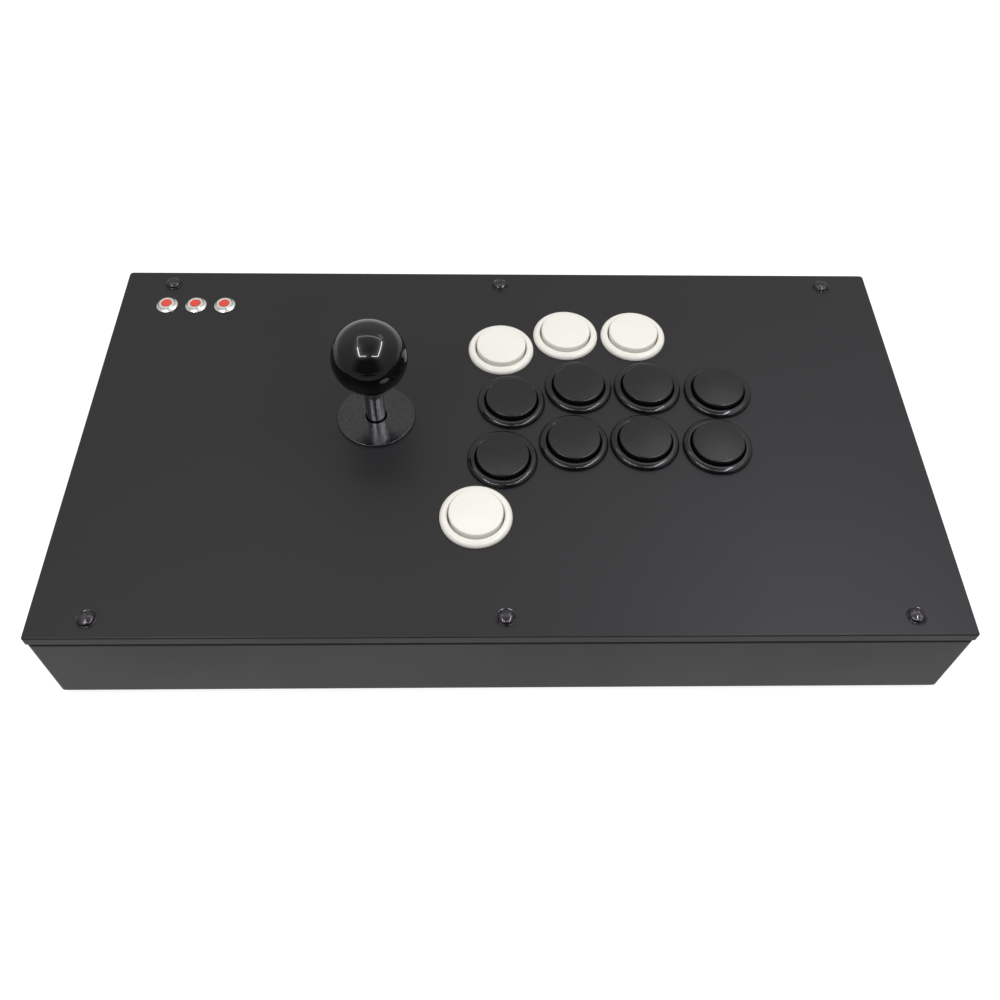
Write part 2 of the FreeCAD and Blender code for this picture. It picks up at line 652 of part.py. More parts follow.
def joystick_housing():
    """A square block, z = 0 at its lower rim, with the pivot's socket in its web."""
    blank = box("body_blank", dim.body_side, dim.body_side, dim.body_high)
    tools = [cylinder("body_mouth", dim.lever_hole_rad, dim.body_high, z=dim.web_top),
             sphere("body_socket", dim.socket_rad, z=pivot_z - body_z),
             box("body_cavity", dim.cavity_side, dim.cavity_side, dim.web_low + OVERCUT,
                 z=-OVERCUT),
             box("body_notch", dim.body_side / 2, dim.notch_wide, dim.notch_high + OVERCUT,
                 -dim.body_side / 2, 0, -OVERCUT)]
    for i, (x, y) in enumerate(corners(dim.csk_x, dim.csk_y)):
        tools.append(cylinder("body_hole_%d" % i, dim.m3_hole_rad, dim.csk_long, x, y,
                              dim.body_high - dim.csk_long + OVERCUT))
    node(cut("joystick_housing", blank, tools), *lever, body_z)


def joystick_switch_board():
    """The switch board, with a tongue that reaches out through the housing's notch."""
    tongue = box("board_tongue", dim.tongue_reach, dim.tongue_wide, dim.board_thick,
                 -dim.tongue_reach / 2)
    plate = box("board_plate", dim.board_side, dim.board_side, dim.board_thick)
    bore = cylinder("board_bore", dim.board_hole_rad, dim.board_thick * 3, z=-dim.board_thick)
    board = cut("joystick_switch_board", fuse("board_blank", [plate, tongue]), [bore])
    node(board, *lever, dim.board_up)


def restrictor_gate():
    """A plate with a square opening and a wall up to the housing."""
    gate = cut("restrictor_gate",
               box("gate_blank", dim.body_side, dim.body_side, dim.gate_high), [
                   box("gate_inside", dim.cavity_side, dim.cavity_side, dim.gate_high,
                       z=dim.gate_skin),
                   box("gate_opening", dim.gate_open, dim.gate_open, dim.gate_high * 3,
                       z=-dim.gate_high),
                   box("gate_notch", dim.body_side / 2, dim.notch_wide, dim.gate_high,
                       -dim.body_side / 2, 0, dim.gate_skin)])
    node(gate, *lever, dim.gate_low)


def joystick_switches():
    """Four switches round the actuator, against the board above them, and their pins."""
    bore = cylinder_along_x("switch_bore", dim.switch_bore_rad, dim.switch_bore_deep + OVERCUT,
                            dim.switch_in - OVERCUT)
    block = box("switch_block", dim.switch_deep, dim.switch_wide, dim.switch_high,
                dim.switch_in + dim.switch_deep / 2, 0, -dim.switch_high / 2)
    switch = cut("switch_shape", block, [bore])
    pin = cylinder_along_x("switch_pin_shape", dim.switch_pin_rad,
                           dim.switch_pin_end - dim.switch_pin_tip, dim.switch_pin_tip)
    # the compound keeps the pin's own placement when it is copied
    pin = compound("switch_pin_piece", [pin])
    turns = (("right", 0.0), ("back", 90.0), ("left", 180.0), ("front", 270.0))
    copies("joystick_switches", switch, [(*lever, switch_z, turn) for _, turn in turns])
    for side, turn in turns:
        copies("switch_pin_" + side, pin, [(*lever, switch_z, turn)])


# ------------------------------------------------------------------ lever, moving pieces
# The shaft, ball, pivot, actuator and clip are drawn about the pivot.
def lever_shaft():
    groove_top = -dim.clip_low + dim.clip_thick
    body = turned("lever_shaft", [
        (0, -dim.shaft_bottom), (dim.shaft_low_rad, -dim.shaft_bottom),
        (dim.shaft_low_rad, -dim.clip_low), (dim.clip_groove_rad, -dim.clip_low),
        (dim.clip_groove_rad, groove_top), (dim.shaft_low_rad, groove_top),
        (dim.shaft_low_rad, dim.pivot_half), (dim.shaft_rad, dim.pivot_half),
        (dim.shaft_rad, shaft_up), (0, shaft_up)])
    node(body, *lever, pivot_z)


def ball_top():
    """The ball, bored for the shaft and flat underneath."""
    knob = cut("ball_top", sphere("ball_solid", dim.ball_rad, z=ball_up), [
        cylinder("ball_bore", dim.shaft_rad + dim.ball_bore_play, shaft_up + dim.ball_bore_gap),
        box("ball_flat_cut", dim.ball_rad * 3, dim.ball_rad * 3, dim.ball_rad,
            z=ball_up - dim.ball_flat - dim.ball_rad)])
    node(knob, *lever, pivot_z)


def shaft_cover():
    body = tube("shaft_cover", dim.cover_rad, dim.cover_bore,
                ball_up - dim.ball_flat - dim.pivot_drop + dim.cover_low)
    node(body, *lever, top_z - dim.cover_low)


def lever_pivot():
    """A ball cut flat above and below, with a bore for the shaft."""
    half = dim.pivot_half
    middle = doc.addObject("Part::Common", "pivot_slice")
    middle.Base = sphere("pivot_ball", dim.pivot_rad)
    middle.Tool = box("pivot_slab", dim.pivot_rad * 3, dim.pivot_rad * 3, half * 2, z=-half)
    doc.recompute()
    bore = cylinder("pivot_bore", dim.actuator_bore, half * 4, z=-half * 2)
    node(cut("lever_pivot", middle, [bore]), *lever, pivot_z)


def lever_actuator():
    """A sleeve with a wider seat at its top."""
    low = -dim.actuator_low
    high = low + dim.actuator_high
    seat = high - dim.actuator_seat_high
    body = turned("lever_actuator", [
        (dim.actuator_bore, low), (dim.actuator_rad, low), (dim.actuator_rad, seat),
        (dim.actuator_seat_rad, seat), (dim.actuator_seat_rad, high), (dim.actuator_bore, high)])
    node(body, *lever, pivot_z)


def lever_e_clip():
    """A ring in the shaft's groove, with a slot open towards +X."""
    body = new_body("lever_e_clip")
    sketch = sketch_on(body, lift=-dim.clip_low + dim.clip_play)
    circle(sketch, dim.clip_rad)
    circle(sketch, dim.clip_groove_rad + dim.clip_play)
    pad(body, sketch, dim.clip_thick - dim.clip_play * 2)
    sketch = sketch_on(body, lift=-dim.clip_low - OVERCUT)
    rectangle(sketch, dim.clip_rad * 2, dim.clip_slot, dim.clip_rad)
    pocket(body, sketch, dim.clip_thick * 4, upward=True)
    node(body, *lever, pivot_z)


def dust_washer():
    body = turned("dust_washer", [
        (dim.washer_bore, 0), (dim.washer_rad, 0), (dim.washer_rad, dim.washer_thick),
        (dim.washer_bore, dim.washer_thick)])
    round_edges(body, on_circle(dim.washer_rad, dim.washer_thick), dim.washer_edge)
    node(body, *lever, top_z + dim.washer_gap)


def sweep(path, rad):
    """A round wire along a path of straight steps, mitred at each joint."""
    ring = Part.Wire([Part.makeCircle(rad, path[0], path[1] - path[0])])
    return Part.makePolygon(path).makePipeShell([ring], True, False, 1)


def centering_spring():
    """A helix of round wire, bent in short straight steps."""
    steps = 38
    rad, high = dim.spring_rad.value, dim.spring_high.value
    turns = high / dim.spring_turn.value
    angles = [2 * math.pi * turns * i / steps for i in range(steps + 1)]
    coil = [V(rad * math.cos(angle), rad * math.sin(angle), high * i / steps)
            for i, angle in enumerate(angles)]
    spring = doc.addObject("Part::Feature", "centering_spring")
    spring.Shape = sweep(coil, dim.spring_wire.value)
    node(spring, *lever, dim.spring_low)


# ------------------------------------------------------------------ electronics
def encoder_board():
    body = new_body("encoder_board")
    sketch = sketch_on(body)
    rectangle(sketch, dim.encoder_long, dim.encoder_wide)
    for x, y in corners(dim.encoder_hole_x, dim.encoder_hole_y):
        circle(sketch, dim.encoder_hole_rad, x, y)
    pad(body, sketch, dim.board_thick)
    node(body, dim.encoder_x, dim.encoder_y, board_z)


def encoder_standoffs():
    body = tube("post_shape", dim.post_rad, dim.post_bore, dim.encoder_off)
    copies("encoder_standoffs", body, at_height(encoder_holes, floor_z))


def encoder_screws():
    head_rad, head_high = dim.encoder_head_rad, dim.encoder_head_high
    body = turned("encoder_screw_shape", [
        (0, head_high), (head_rad, head_high), (head_rad, 0), (dim.m3_rad, 0),
        (dim.m3_rad, -dim.encoder_off), (0, -dim.encoder_off)])
    copies("encoder_screws", body, at_height(encoder_holes, parts_z))


# name, long, wide, high, then x and y from the encoder board's centre
CHIPS = [
    ("chip_main", 10.0, 10.0, 1.4, -5.0, -4.0),
    ("chip_crystal", 11.0, 4.5, 3.4, -6.0, 10.0),
    ("chip_driver", 5.0, 6.2, 1.5, -22.0, -6.0),
]
# name, radius, high, then x and y from the encoder board's centre
CAPACITORS = [
    ("chip_capacitor", 3.0, 6.0, 10.0, 10.0),
    ("chip_capacitor_2", 2.5, 5.0, 18.0, 9.0),
]


def encoder_chips():
    parts = []
    for name, long, wide, high, x, y in CHIPS:
        parts.append(box(name, long, wide, high, dim.encoder_x + x, dim.encoder_y + y, parts_z))
    for name, rad, high, x, y in CAPACITORS:
        parts.append(cylinder(name, rad, high, dim.encoder_x + x, dim.encoder_y + y, parts_z))
    compound_node = compound("encoder_chips", parts)
    node(compound_node)


def board_headers():
    """One header under the joystick board's tongue, the rest on the encoder board's edges."""
    deep, high = dim.header_deep, dim.header_high
    headers = [box("header_lever", dim.lever_header_long, 15.0, high,
                   dim.lever_x - dim.tongue_reach + dim.lever_header_long / 2, dim.lever_y,
                   dim.board_up - high)]
    # right-hand edge: name, width along Y, offset from the board's centre
    for name, wide, y in (("signal", 8.0, dim.signal_header_y),
                          ("ground", 5.0, dim.ground_header_y),
                          ("joystick", 12.0, dim.joystick_header_y)):
        headers.append(box("header_" + name, deep, wide, high, board_right_x - deep / 2,
                           dim.encoder_y + y, parts_z))
    # back edge: name, length along X, height, centre
    for name, long, tall, x in (("menu", 26.0, high, dim.menu_x + dim.menu_header_x),
                                ("usb", 7.0, 6.0, dim.usb_x)):
        headers.append(box("header_" + name, long, deep, tall, x, board_back_y - deep / 2,
                           parts_z))
    node(compound("board_headers", headers))


def usb_socket():
    """A shell through the tray's back wall, with a tongue in its mouth."""
    shell = box("usb_shell", dim.usb_wide, dim.usb_deep, dim.usb_high, dim.usb_x,
                tray_out_y - dim.usb_deep / 2, dim.usb_low)
    mouth_overcut = 0.01
    mouth = box("usb_mouth", dim.usb_wide - dim.usb_side_skin * 2, dim.usb_mouth_deep,
                dim.usb_high - dim.usb_roof_skin * 2, dim.usb_x,
                tray_out_y - dim.usb_mouth_deep / 2 + mouth_overcut,
                dim.usb_low + dim.usb_roof_skin)
    shell = cut("usb_shell_cut", shell, [mouth])
    tongue = box("usb_tongue", dim.usb_tongue_wide, dim.usb_tongue_long, dim.usb_tongue_high,
                 dim.usb_x, tray_out_y - dim.usb_tongue_back - dim.usb_tongue_long / 2,
                 dim.usb_low + dim.usb_high / 2 - dim.usb_tongue_high / 2)
    node(fuse("usb_socket", [shell, tongue]))


# ------------------------------------------------------------------ wiring
def pipe(points, rad, bend):
    """A round wire through the points, each corner eased into three mitred steps."""
    steps = 3
    path = [points[0]]
    for before, point, after in zip(points, points[1:], points[2:]):
        inward, outward = (point - before).normalize(), (after - point).normalize()
        turn = inward.getAngle(outward)
        centre = point + (outward - inward).normalize() * (bend / math.cos(turn / 2))
        first = point - inward * (bend * math.tan(turn / 2)) - centre
        side = inward * bend
        for k in range(steps + 1):
            angle = turn * k / steps
            path.append(centre + first * math.cos(angle) + side * math.sin(angle))
    path.append(points[-1])
    return sweep(path, rad)


def wiring(label, pieces):
    wires = doc.addObject("Part::Feature", label)
    wires.Shape = Part.makeCompound(pieces)
    node(wires)


def loom(label, side, level, trunk, run_off, header_off, clear_x, rise):
    """A trunk from under the buttons to its header, and a wire down from each switch.

    side picks the blade of each switch, level is the trunk's height and clear_x is where
    it turns forward. It passes run_off in front of the joystick housing and rises
    by rise to its header.
    """
    trunk_end = 6.0         # past the rightmost button's centre
    lead_far, lead_near = 12.0, 6.0     # where the trunk bends, right of the header
    trunk_y = dim.trunk_y.value
    run_y = dim.lever_y.value - dim.body_side.value / 2 - run_off
    header_x = board_right_x.value
    header_y = (dim.encoder_y + header_off).value
    trunk_rad, wire_rad = trunk.value, dim.wire_rad.value
    level = level.value
    result = pipe([V(dim.black_4_x.value + trunk_end, trunk_y, level),
                   V(clear_x, trunk_y, level), V(clear_x, run_y, level),
                   V(header_x + lead_far, run_y, level),
                   V(header_x + lead_near, header_y, level + rise),
                   V(header_x, header_y, level + rise)], trunk_rad, trunk_rad * 1.4)
    for spot_x, spot_y in all_spots:
        x = spot_x.value + side * dim.blade_pitch.value
        y = spot_y.value
        result = result.fuse(pipe([V(x, y, blade_z.value), V(x, y, level), V(x, trunk_y, level)],
                                  wire_rad, wire_rad * 2))
    if len(result.Solids) != 1:
        raise RuntimeError("%s isn't one solid" % label)
    wiring(label, result.Solids)


def button_looms():
    loom("signal_loom", side=-1, level=dim.trunk_z, trunk=dim.trunk_rad, run_off=13.0,
         header_off=dim.signal_header_y, clear_x=-22.0, rise=0.0)
    loom("ground_loom", side=1, level=dim.ground_z, trunk=dim.ground_rad, run_off=5.0,
         header_off=dim.ground_header_y, clear_x=-13.0, rise=7.0)


def menu_wires():
    """Two wires from each menu button to the header on the board's back edge."""
    level = 20.0
    lead = 14.0             # straight run behind the board
    header_pitch = 8.0      # between the pairs of wires at the header
    end_y = board_back_y.value
    wires = []
    for i, (menu_x, menu_y) in enumerate(menu_spots):
        for side in (-1, 1):
            off = side * dim.menu_blade_pitch.value
            x, y = menu_x.value + off, menu_y.value
            end_x = (dim.menu_x + dim.menu_header_x).value + (i - 1) * header_pitch + off
            wires.append(pipe([V(x, y, menu_blade_z.value), V(x, y, level),
                               V(end_x, end_y + lead, level), V(end_x, end_y, level)],
                              rad=0.6, bend=1.5))
    wiring("menu_wires", wires)


def joystick_cable():
    """From the joystick board's header to the encoder board's right-hand edge."""
    lead = 5.0              # straight run at each end
    end_z = 19.2
    start_x = dim.lever_x.value - dim.tongue_reach.value
    start_y = dim.lever_y.value
    start_z = (dim.board_up - dim.header_high / 2).value
    end_x = board_right_x.value
    end_y = (dim.encoder_y + dim.joystick_header_y).value
    wiring("joystick_cable", [pipe([V(start_x, start_y, start_z),
                                    V(start_x - lead, start_y, start_z),
                                    V(end_x + lead, end_y, end_z),
                                    V(end_x, end_y, end_z)], rad=2.0, bend=2.5)])


def usb_cable():
    """From the USB socket forward to the encoder board's back edge."""
    x = dim.usb_x.value
    start_z = (dim.usb_low + dim.usb_high / 2).value
    end_z = 18.4
    slope_back_y, slope_front_y = 40.0, 26.0
    wiring("usb_cable", [pipe([V(x, (tray_out_y - dim.usb_deep).value, start_z),
                               V(x, slope_back_y, start_z), V(x, slope_front_y, end_z),
                               V(x, board_back_y.value, end_z)], rad=1.8, bend=4.0)])


# ------------------------------------------------------------------ build, check and write
for build in (
        top_panel, panel_weld_studs, base_tray, panel_rails, panel_screws, panel_clinch_nuts,
        rubber_feet, foot_screws, hex_nuts,
        button_housings, button_switches, switch_terminals, button_caps,
        menu_button_barrels, menu_button_nuts, menu_button_plungers,
        joystick_mounting_plate, joystick_housing_screws, joystick_housing,
        joystick_switch_board, restrictor_gate, joystick_switches,
        lever_shaft, ball_top, shaft_cover, lever_pivot, lever_actuator, lever_e_clip,
        dust_washer, centering_spring,
        encoder_board, encoder_standoffs, encoder_screws, encoder_chips, board_headers,
        usb_socket, button_looms, menu_wires, joystick_cable, usb_cable):
    build()

doc.recompute()
bad = [obj.Name for obj in doc.Objects if "Invalid" in obj.State or "Error" in obj.State]
if bad:
    raise RuntimeError("failed objects: %s" % bad)
for obj in NODES:
    if obj.Shape.isNull() or not obj.Shape.isValid() or not obj.Shape.Solids:
        raise RuntimeError("%s has no valid solid" % obj.Label)
if len({obj.Label for obj in NODES}) != len(NODES):
    raise RuntimeError("two nodes share a label")

os.makedirs("parts", exist_ok=True)
for obj in NODES:
    obj.Shape.exportStep("parts/%s.step" % obj.Label)
print("%d nodes written" % len(NODES))
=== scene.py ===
# An arcade controller: a folded steel box with a ball-top lever, eight black and four white
# push buttons and three menu buttons on its top panel, in a white studio tent.
# It stands on z = 0: +X is right, -Y is the front, +Z is up. Lengths are metres, but turned
# outlines and texture sizes are millimetres.
import math

import bmesh
import bpy
from mathutils import Matrix, Vector


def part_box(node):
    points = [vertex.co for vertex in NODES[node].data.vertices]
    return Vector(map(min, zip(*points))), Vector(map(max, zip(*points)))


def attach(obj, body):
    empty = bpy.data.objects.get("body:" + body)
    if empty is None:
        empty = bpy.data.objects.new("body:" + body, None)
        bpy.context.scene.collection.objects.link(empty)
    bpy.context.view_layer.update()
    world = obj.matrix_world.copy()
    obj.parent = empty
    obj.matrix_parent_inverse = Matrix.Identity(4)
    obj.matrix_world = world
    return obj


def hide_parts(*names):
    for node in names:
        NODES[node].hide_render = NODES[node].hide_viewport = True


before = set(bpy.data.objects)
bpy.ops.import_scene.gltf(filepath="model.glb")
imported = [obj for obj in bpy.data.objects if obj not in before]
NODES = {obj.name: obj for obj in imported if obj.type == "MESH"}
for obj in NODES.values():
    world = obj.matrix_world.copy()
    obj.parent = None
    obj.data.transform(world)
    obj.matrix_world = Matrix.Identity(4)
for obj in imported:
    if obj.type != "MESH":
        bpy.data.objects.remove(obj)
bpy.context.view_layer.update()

MM = 0.001
scene = bpy.context.scene


# ---------------------------------------------------------------- places, read from the frame
def centre(node):
    low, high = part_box(node)
    return (low + high) / 2


def numbered_centres(stem, count):
    return [centre("%s_%d" % (stem, i)) for i in range(1, count + 1)]


def solid_centres(node):
    """Box centre of each separate solid of a CAD node; vertices at one place count as one."""
    mesh = NODES[node].data
    spots = [tuple(round(value, 6) for value in vert.co) for vert in mesh.vertices]
    parent = {spot: spot for spot in spots}

    def root(spot):
        while parent[spot] != spot:
            parent[spot] = parent[parent[spot]]
            spot = parent[spot]
        return spot

    for face in mesh.polygons:
        first = root(spots[face.vertices[0]])
        for index in face.vertices[1:]:
            parent[root(spots[index])] = first
    solids = {}
    for spot in parent:
        solids.setdefault(root(spot), []).append(spot)
    centres = []
    for solid in solids.values():
        low = Vector([min(values) for values in zip(*solid)])
        high = Vector([max(values) for values in zip(*solid)])
        centres.append((low + high) / 2)
    return centres


panel_low, panel_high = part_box("top_panel")
TOP = panel_high.z                       # upper face of the panel
black_places = numbered_centres("black_button_cap", 8)
white_places = numbered_centres("white_button_cap", 4)
menu_places = numbered_centres("menu_button_plunger", 3)
screw_places = sorted(solid_centres("panel_screws"), key=lambda place: (place.y, place.x))
foot_places = solid_centres("rubber_feet")
standoff_places = solid_centres("encoder_standoffs")
lever = centre("dust_washer")
ball_low, ball_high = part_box("ball_top")
BALL_R = (ball_high.x - ball_low.x) / 2
BALL = Vector((lever.x, lever.y, ball_high.z - BALL_R))


# ---------------------------------------------------------------- node graphs
class Shade:
    """A small node-graph writer for one material or world."""

    def __init__(self, tree):
        self.tree = tree

    def add(self, kind, **props):
        node = self.tree.nodes.new(kind)
        for key, value in props.items():
            setattr(node, key, value)
        return node

    def link(self, output, socket):
        self.tree.links.new(output, socket)

    def feed(self, socket, value):
        """Set a number or an (r, g, b) colour, or link another node's output."""
        if isinstance(value, tuple):
            socket.default_value = (*value, 1.0)
        elif isinstance(value, (int, float)):
            socket.default_value = value
        else:
            self.link(value, socket)

    def math(self, operation, first, second=None):
        node = self.add("ShaderNodeMath", operation=operation)
        self.feed(node.inputs[0], first)
        if second is not None:
            self.feed(node.inputs[1], second)
        return node.outputs[0]

    def plus(self, first, second):
        return self.math("ADD", first, second)

    def minus(self, first, second):
        return self.math("SUBTRACT", first, second)

    def times(self, first, second):
        return self.math("MULTIPLY", first, second)

    def ramp(self, value, between, to=(0.0, 1.0)):
        """Smooth step: the range `between` is carried to the range `to`."""
        node = self.add("ShaderNodeMapRange", interpolation_type="SMOOTHSTEP", clamp=True)
        self.feed(node.inputs["Value"], value)
        for key, number in zip(("From Min", "From Max", "To Min", "To Max"), between + to):
            self.feed(node.inputs[key], number)
        return node.outputs["Result"]

    def mix(self, factor, first, second):
        node = self.add("ShaderNodeMix", data_type="RGBA")
        for index, value in ((0, factor), (6, first), (7, second)):
            self.feed(node.inputs[index], value)
        return node.outputs[2]

    def mix_shaders(self, factor, first, second):
        node = self.add("ShaderNodeMixShader")
        for socket, output in zip(node.inputs, (factor, first, second)):
            self.link(output, socket)
        return node.outputs[0]

    def rgb(self, color):
        node = self.add("ShaderNodeRGB")
        node.outputs[0].default_value = (*color, 1)
        return node.outputs[0]

    def scaled(self, vector, factor):
        node = self.add("ShaderNodeVectorMath", operation="SCALE")
        self.link(vector, node.inputs[0])
        self.link(factor, node.inputs["Scale"])
        return node.outputs[0]

    def coords(self):
        return self.add("ShaderNodeTexCoord").outputs["Object"]

    def shifted(self, vector, scale=(1, 1, 1), move=(0, 0, 0)):
        node = self.add("ShaderNodeMapping")
        self.link(vector, node.inputs["Vector"])
        node.inputs["Scale"].default_value = scale
        node.inputs["Location"].default_value = move
        return node.outputs["Vector"]

    def noise(self, vector, size_mm, detail=3.0, rough=0.5):
        """Noise whose features are about size_mm across."""
        node = self.add("ShaderNodeTexNoise")
        self.link(vector, node.inputs["Vector"])
        node.inputs["Scale"].default_value = 1000.0 / size_mm
        node.inputs["Detail"].default_value = detail
        node.inputs["Roughness"].default_value = rough
        return node.outputs["Fac"]

    def cells(self, vector, size_mm):
        node = self.add("ShaderNodeTexVoronoi")
        self.link(vector, node.inputs["Vector"])
        node.inputs["Scale"].default_value = 1000.0 / size_mm
        return node.outputs["Distance"]

    def bump(self, height, strength, depth_mm, normal=None):
        node = self.add("ShaderNodeBump")
        self.link(height, node.inputs["Height"])
        node.inputs["Strength"].default_value = strength
        node.inputs["Distance"].default_value = depth_mm * MM
        if normal is not None:
            self.link(normal, node.inputs["Normal"])
        return node.outputs["Normal"]

    def surface(self, **values):
        """The Principled surface; keys are its input names with _ for spaces."""
        inputs = self.tree.nodes["Principled BSDF"].inputs
        for key, value in values.items():
            self.feed(inputs[key.replace("_", " ")], value)


# ---------------------------------------------------------------- materials
finishes = {}


def material(name):
    """A new material, kept in finishes by its name; returns its graph writer."""
    made = bpy.data.materials.new(name)
    made.use_nodes = True
    finishes[name] = made
    return Shade(made.node_tree)


def powder_coat(name, color, rough, seed, shine=0.5):
    """Fine black powder coat: pebbled skin and faint cloudy gloss. seed moves the texture."""
    shade = material(name)
    coords = shade.shifted(shade.coords(), move=(seed, seed * 0.7, 0))
    cloud = shade.noise(coords, size_mm=55, detail=2.0)
    fine = shade.noise(coords, size_mm=0.55, detail=2.0, rough=0.6)
    grit = shade.cells(coords, size_mm=0.9)
    mottle = shade.plus(shade.times(cloud, 0.6), shade.times(fine, 0.4))
    tone = shade.ramp(mottle, between=(0.3, 0.7), to=(0.86, 1.14))
    normal = shade.bump(grit, strength=0.10, depth_mm=0.05)
    normal = shade.bump(fine, strength=0.16, depth_mm=0.04, normal=normal)
    polish = shade.ramp(cloud, between=(0.25, 0.75), to=(rough - 0.03, rough + 0.03))
    shade.surface(Base_Color=shade.scaled(shade.rgb(color), tone), Roughness=polish,
                  Normal=normal, Specular_IOR_Level=shine)


def plastic(name, color, rough, grain_mm=0.35, grain=0.05, deep=0.03, cloud=0.06,
            smudge=0.02, ior=1.5, spec=0.5, speckle=0.0):
    """Moulded plastic. grain_mm, grain and deep are the moulded grain's size, strength and
    depth; cloud, smudge and speckle are the spread of tone, roughness and specular level."""
    shade = material(name)
    coords = shade.coords()
    flow = shade.noise(coords, size_mm=14, detail=2.0)
    fine = shade.noise(coords, size_mm=grain_mm, detail=2.0, rough=0.6)
    polish = shade.noise(shade.shifted(coords, move=(0.3, 0.1, 0.2)), size_mm=5, rough=0.6)
    tone = shade.ramp(flow, between=(0.3, 0.7), to=(1 - cloud, 1 + cloud))
    roughness = shade.ramp(polish, between=(0.3, 0.75),
                           to=(max(rough - smudge, 0.02), rough + smudge))
    shade.surface(Base_Color=shade.scaled(shade.rgb(color), tone), Roughness=roughness,
                  Normal=shade.bump(fine, strength=grain, depth_mm=deep),
                  IOR=ior, Specular_IOR_Level=spec)
    if speckle:
        dots = shade.noise(shade.shifted(coords, move=(0.05, 0.11, 0.02)),
                           size_mm=grain_mm * 0.8, detail=2.0, rough=0.7)
        shade.surface(Specular_IOR_Level=shade.ramp(
            dots, between=(0.36, 0.64), to=(spec * (1 - speckle), spec * (1 + speckle))))


def metal(name, color, rough, brush=(1, 1, 1), brush_mm=0.6, grain=0.08, stain=0.1):
    """Metal with a little tarnish. brush stretches the grain: lines run along the smallest."""
    shade = material(name)
    coords = shade.coords()
    lines = shade.noise(shade.shifted(coords, scale=brush), size_mm=brush_mm, rough=0.6)
    spots = shade.noise(coords, size_mm=4.0, rough=0.6)
    stained = tuple(channel * (1 - stain) for channel in color)
    base = shade.mix(shade.ramp(spots, between=(0.35, 0.75)), color, stained)
    roughness = shade.ramp(lines, between=(0.3, 0.7), to=(rough * 0.8, rough * 1.2))
    shade.surface(Base_Color=base, Metallic=1.0, Roughness=roughness,
                  Normal=shade.bump(lines, strength=grain, depth_mm=0.03))


def solder_mask():
    """Green board coating, paler and bumped along a brick pattern's joints."""
    shade = material("solder_mask")
    bricks = shade.add("ShaderNodeTexBrick")
    shade.link(shade.shifted(shade.coords(), scale=(180, 180, 180)), bricks.inputs["Vector"])
    bricks.inputs["Scale"].default_value = 2.0
    bricks.inputs["Mortar Size"].default_value = 0.06
    field = shade.minus(1.0, bricks.outputs["Fac"])
    joint = shade.times(shade.minus(1.0, field), 0.6)
    shade.surface(Base_Color=shade.mix(joint, (0.012, 0.10, 0.045), (0.05, 0.20, 0.08)),
                  Roughness=0.3, Normal=shade.bump(field, strength=0.15, depth_mm=0.05))


COAT = (0.0080, 0.0074, 0.0082)
powder_coat("powder_coat_panel", COAT, rough=0.45, seed=0.0, shine=0.42)
powder_coat("powder_coat_tray", COAT, rough=0.45, seed=0.35, shine=0.42)
powder_coat("powder_coat_rail", (0.010, 0.010, 0.010), rough=0.6, seed=0.61)
plastic("gloss_black", (0.0040, 0.0040, 0.0045), rough=0.125, grain=0.012, grain_mm=0.8)
plastic("ball_black", (0.0015, 0.0015, 0.0018), rough=0.050, grain=0.004, grain_mm=1.5,
        smudge=0.008)
plastic("satin_black", (0.0040, 0.0038, 0.0042), rough=0.28, grain=0.03, smudge=0.03, spec=0.46)
plastic("ivory", (0.780, 0.785, 0.690), rough=0.20, grain=0.015, cloud=0.010, smudge=0.03)
plastic("cover_black", (0.005, 0.005, 0.006), rough=0.060, grain=1.0, grain_mm=0.9,
        smudge=0.01, ior=3.5, deep=0.012, speckle=0.30)
plastic("washer_black", (0.005, 0.005, 0.006), rough=0.14, grain=1.0, grain_mm=0.8,
        ior=1.66, deep=0.045, speckle=0.28)
plastic("plunger_red", (0.70, 0.060, 0.036), rough=0.38, grain=0.06, cloud=0.03)
plastic("foot_rubber", (0.016, 0.016, 0.016), rough=0.75, grain=0.25, grain_mm=0.5, cloud=0.15)
plastic("matte_black", (0.016, 0.016, 0.017), rough=0.5, grain=0.12, cloud=0.08)
plastic("nylon_natural", (0.72, 0.68, 0.58), rough=0.42, grain=0.06, cloud=0.03)
plastic("switch_case", (0.022, 0.022, 0.024), rough=0.42, grain=0.12, cloud=0.08)
plastic("chip_case", (0.014, 0.014, 0.015), rough=0.55, grain=0.2, grain_mm=0.15)
plastic("wire_red", (0.42, 0.022, 0.018), rough=0.38, grain=0.03)
plastic("wire_black", (0.014, 0.014, 0.015), rough=0.4, grain=0.03)
metal("zinc_plate", (0.60, 0.61, 0.63), rough=0.32, brush_mm=1.4, grain=0.05, stain=0.2)
metal("bright_steel", (0.62, 0.61, 0.60), rough=0.16, brush=(1, 1, 0.05), grain=0.03)
metal("black_oxide", (0.075, 0.072, 0.075), rough=0.12, grain=0.03, brush_mm=0.5)
metal("menu_metal", (0.87, 0.87, 0.80), rough=0.27, grain=0.05, brush_mm=0.5, stain=0.05)
metal("tinned_brass", (0.74, 0.60, 0.32), rough=0.28, brush=(1, 1, 0.1), stain=0.2)
metal("plated_shell", (0.66, 0.66, 0.67), rough=0.22, brush=(0.1, 1, 1), stain=0.12)
solder_mask()

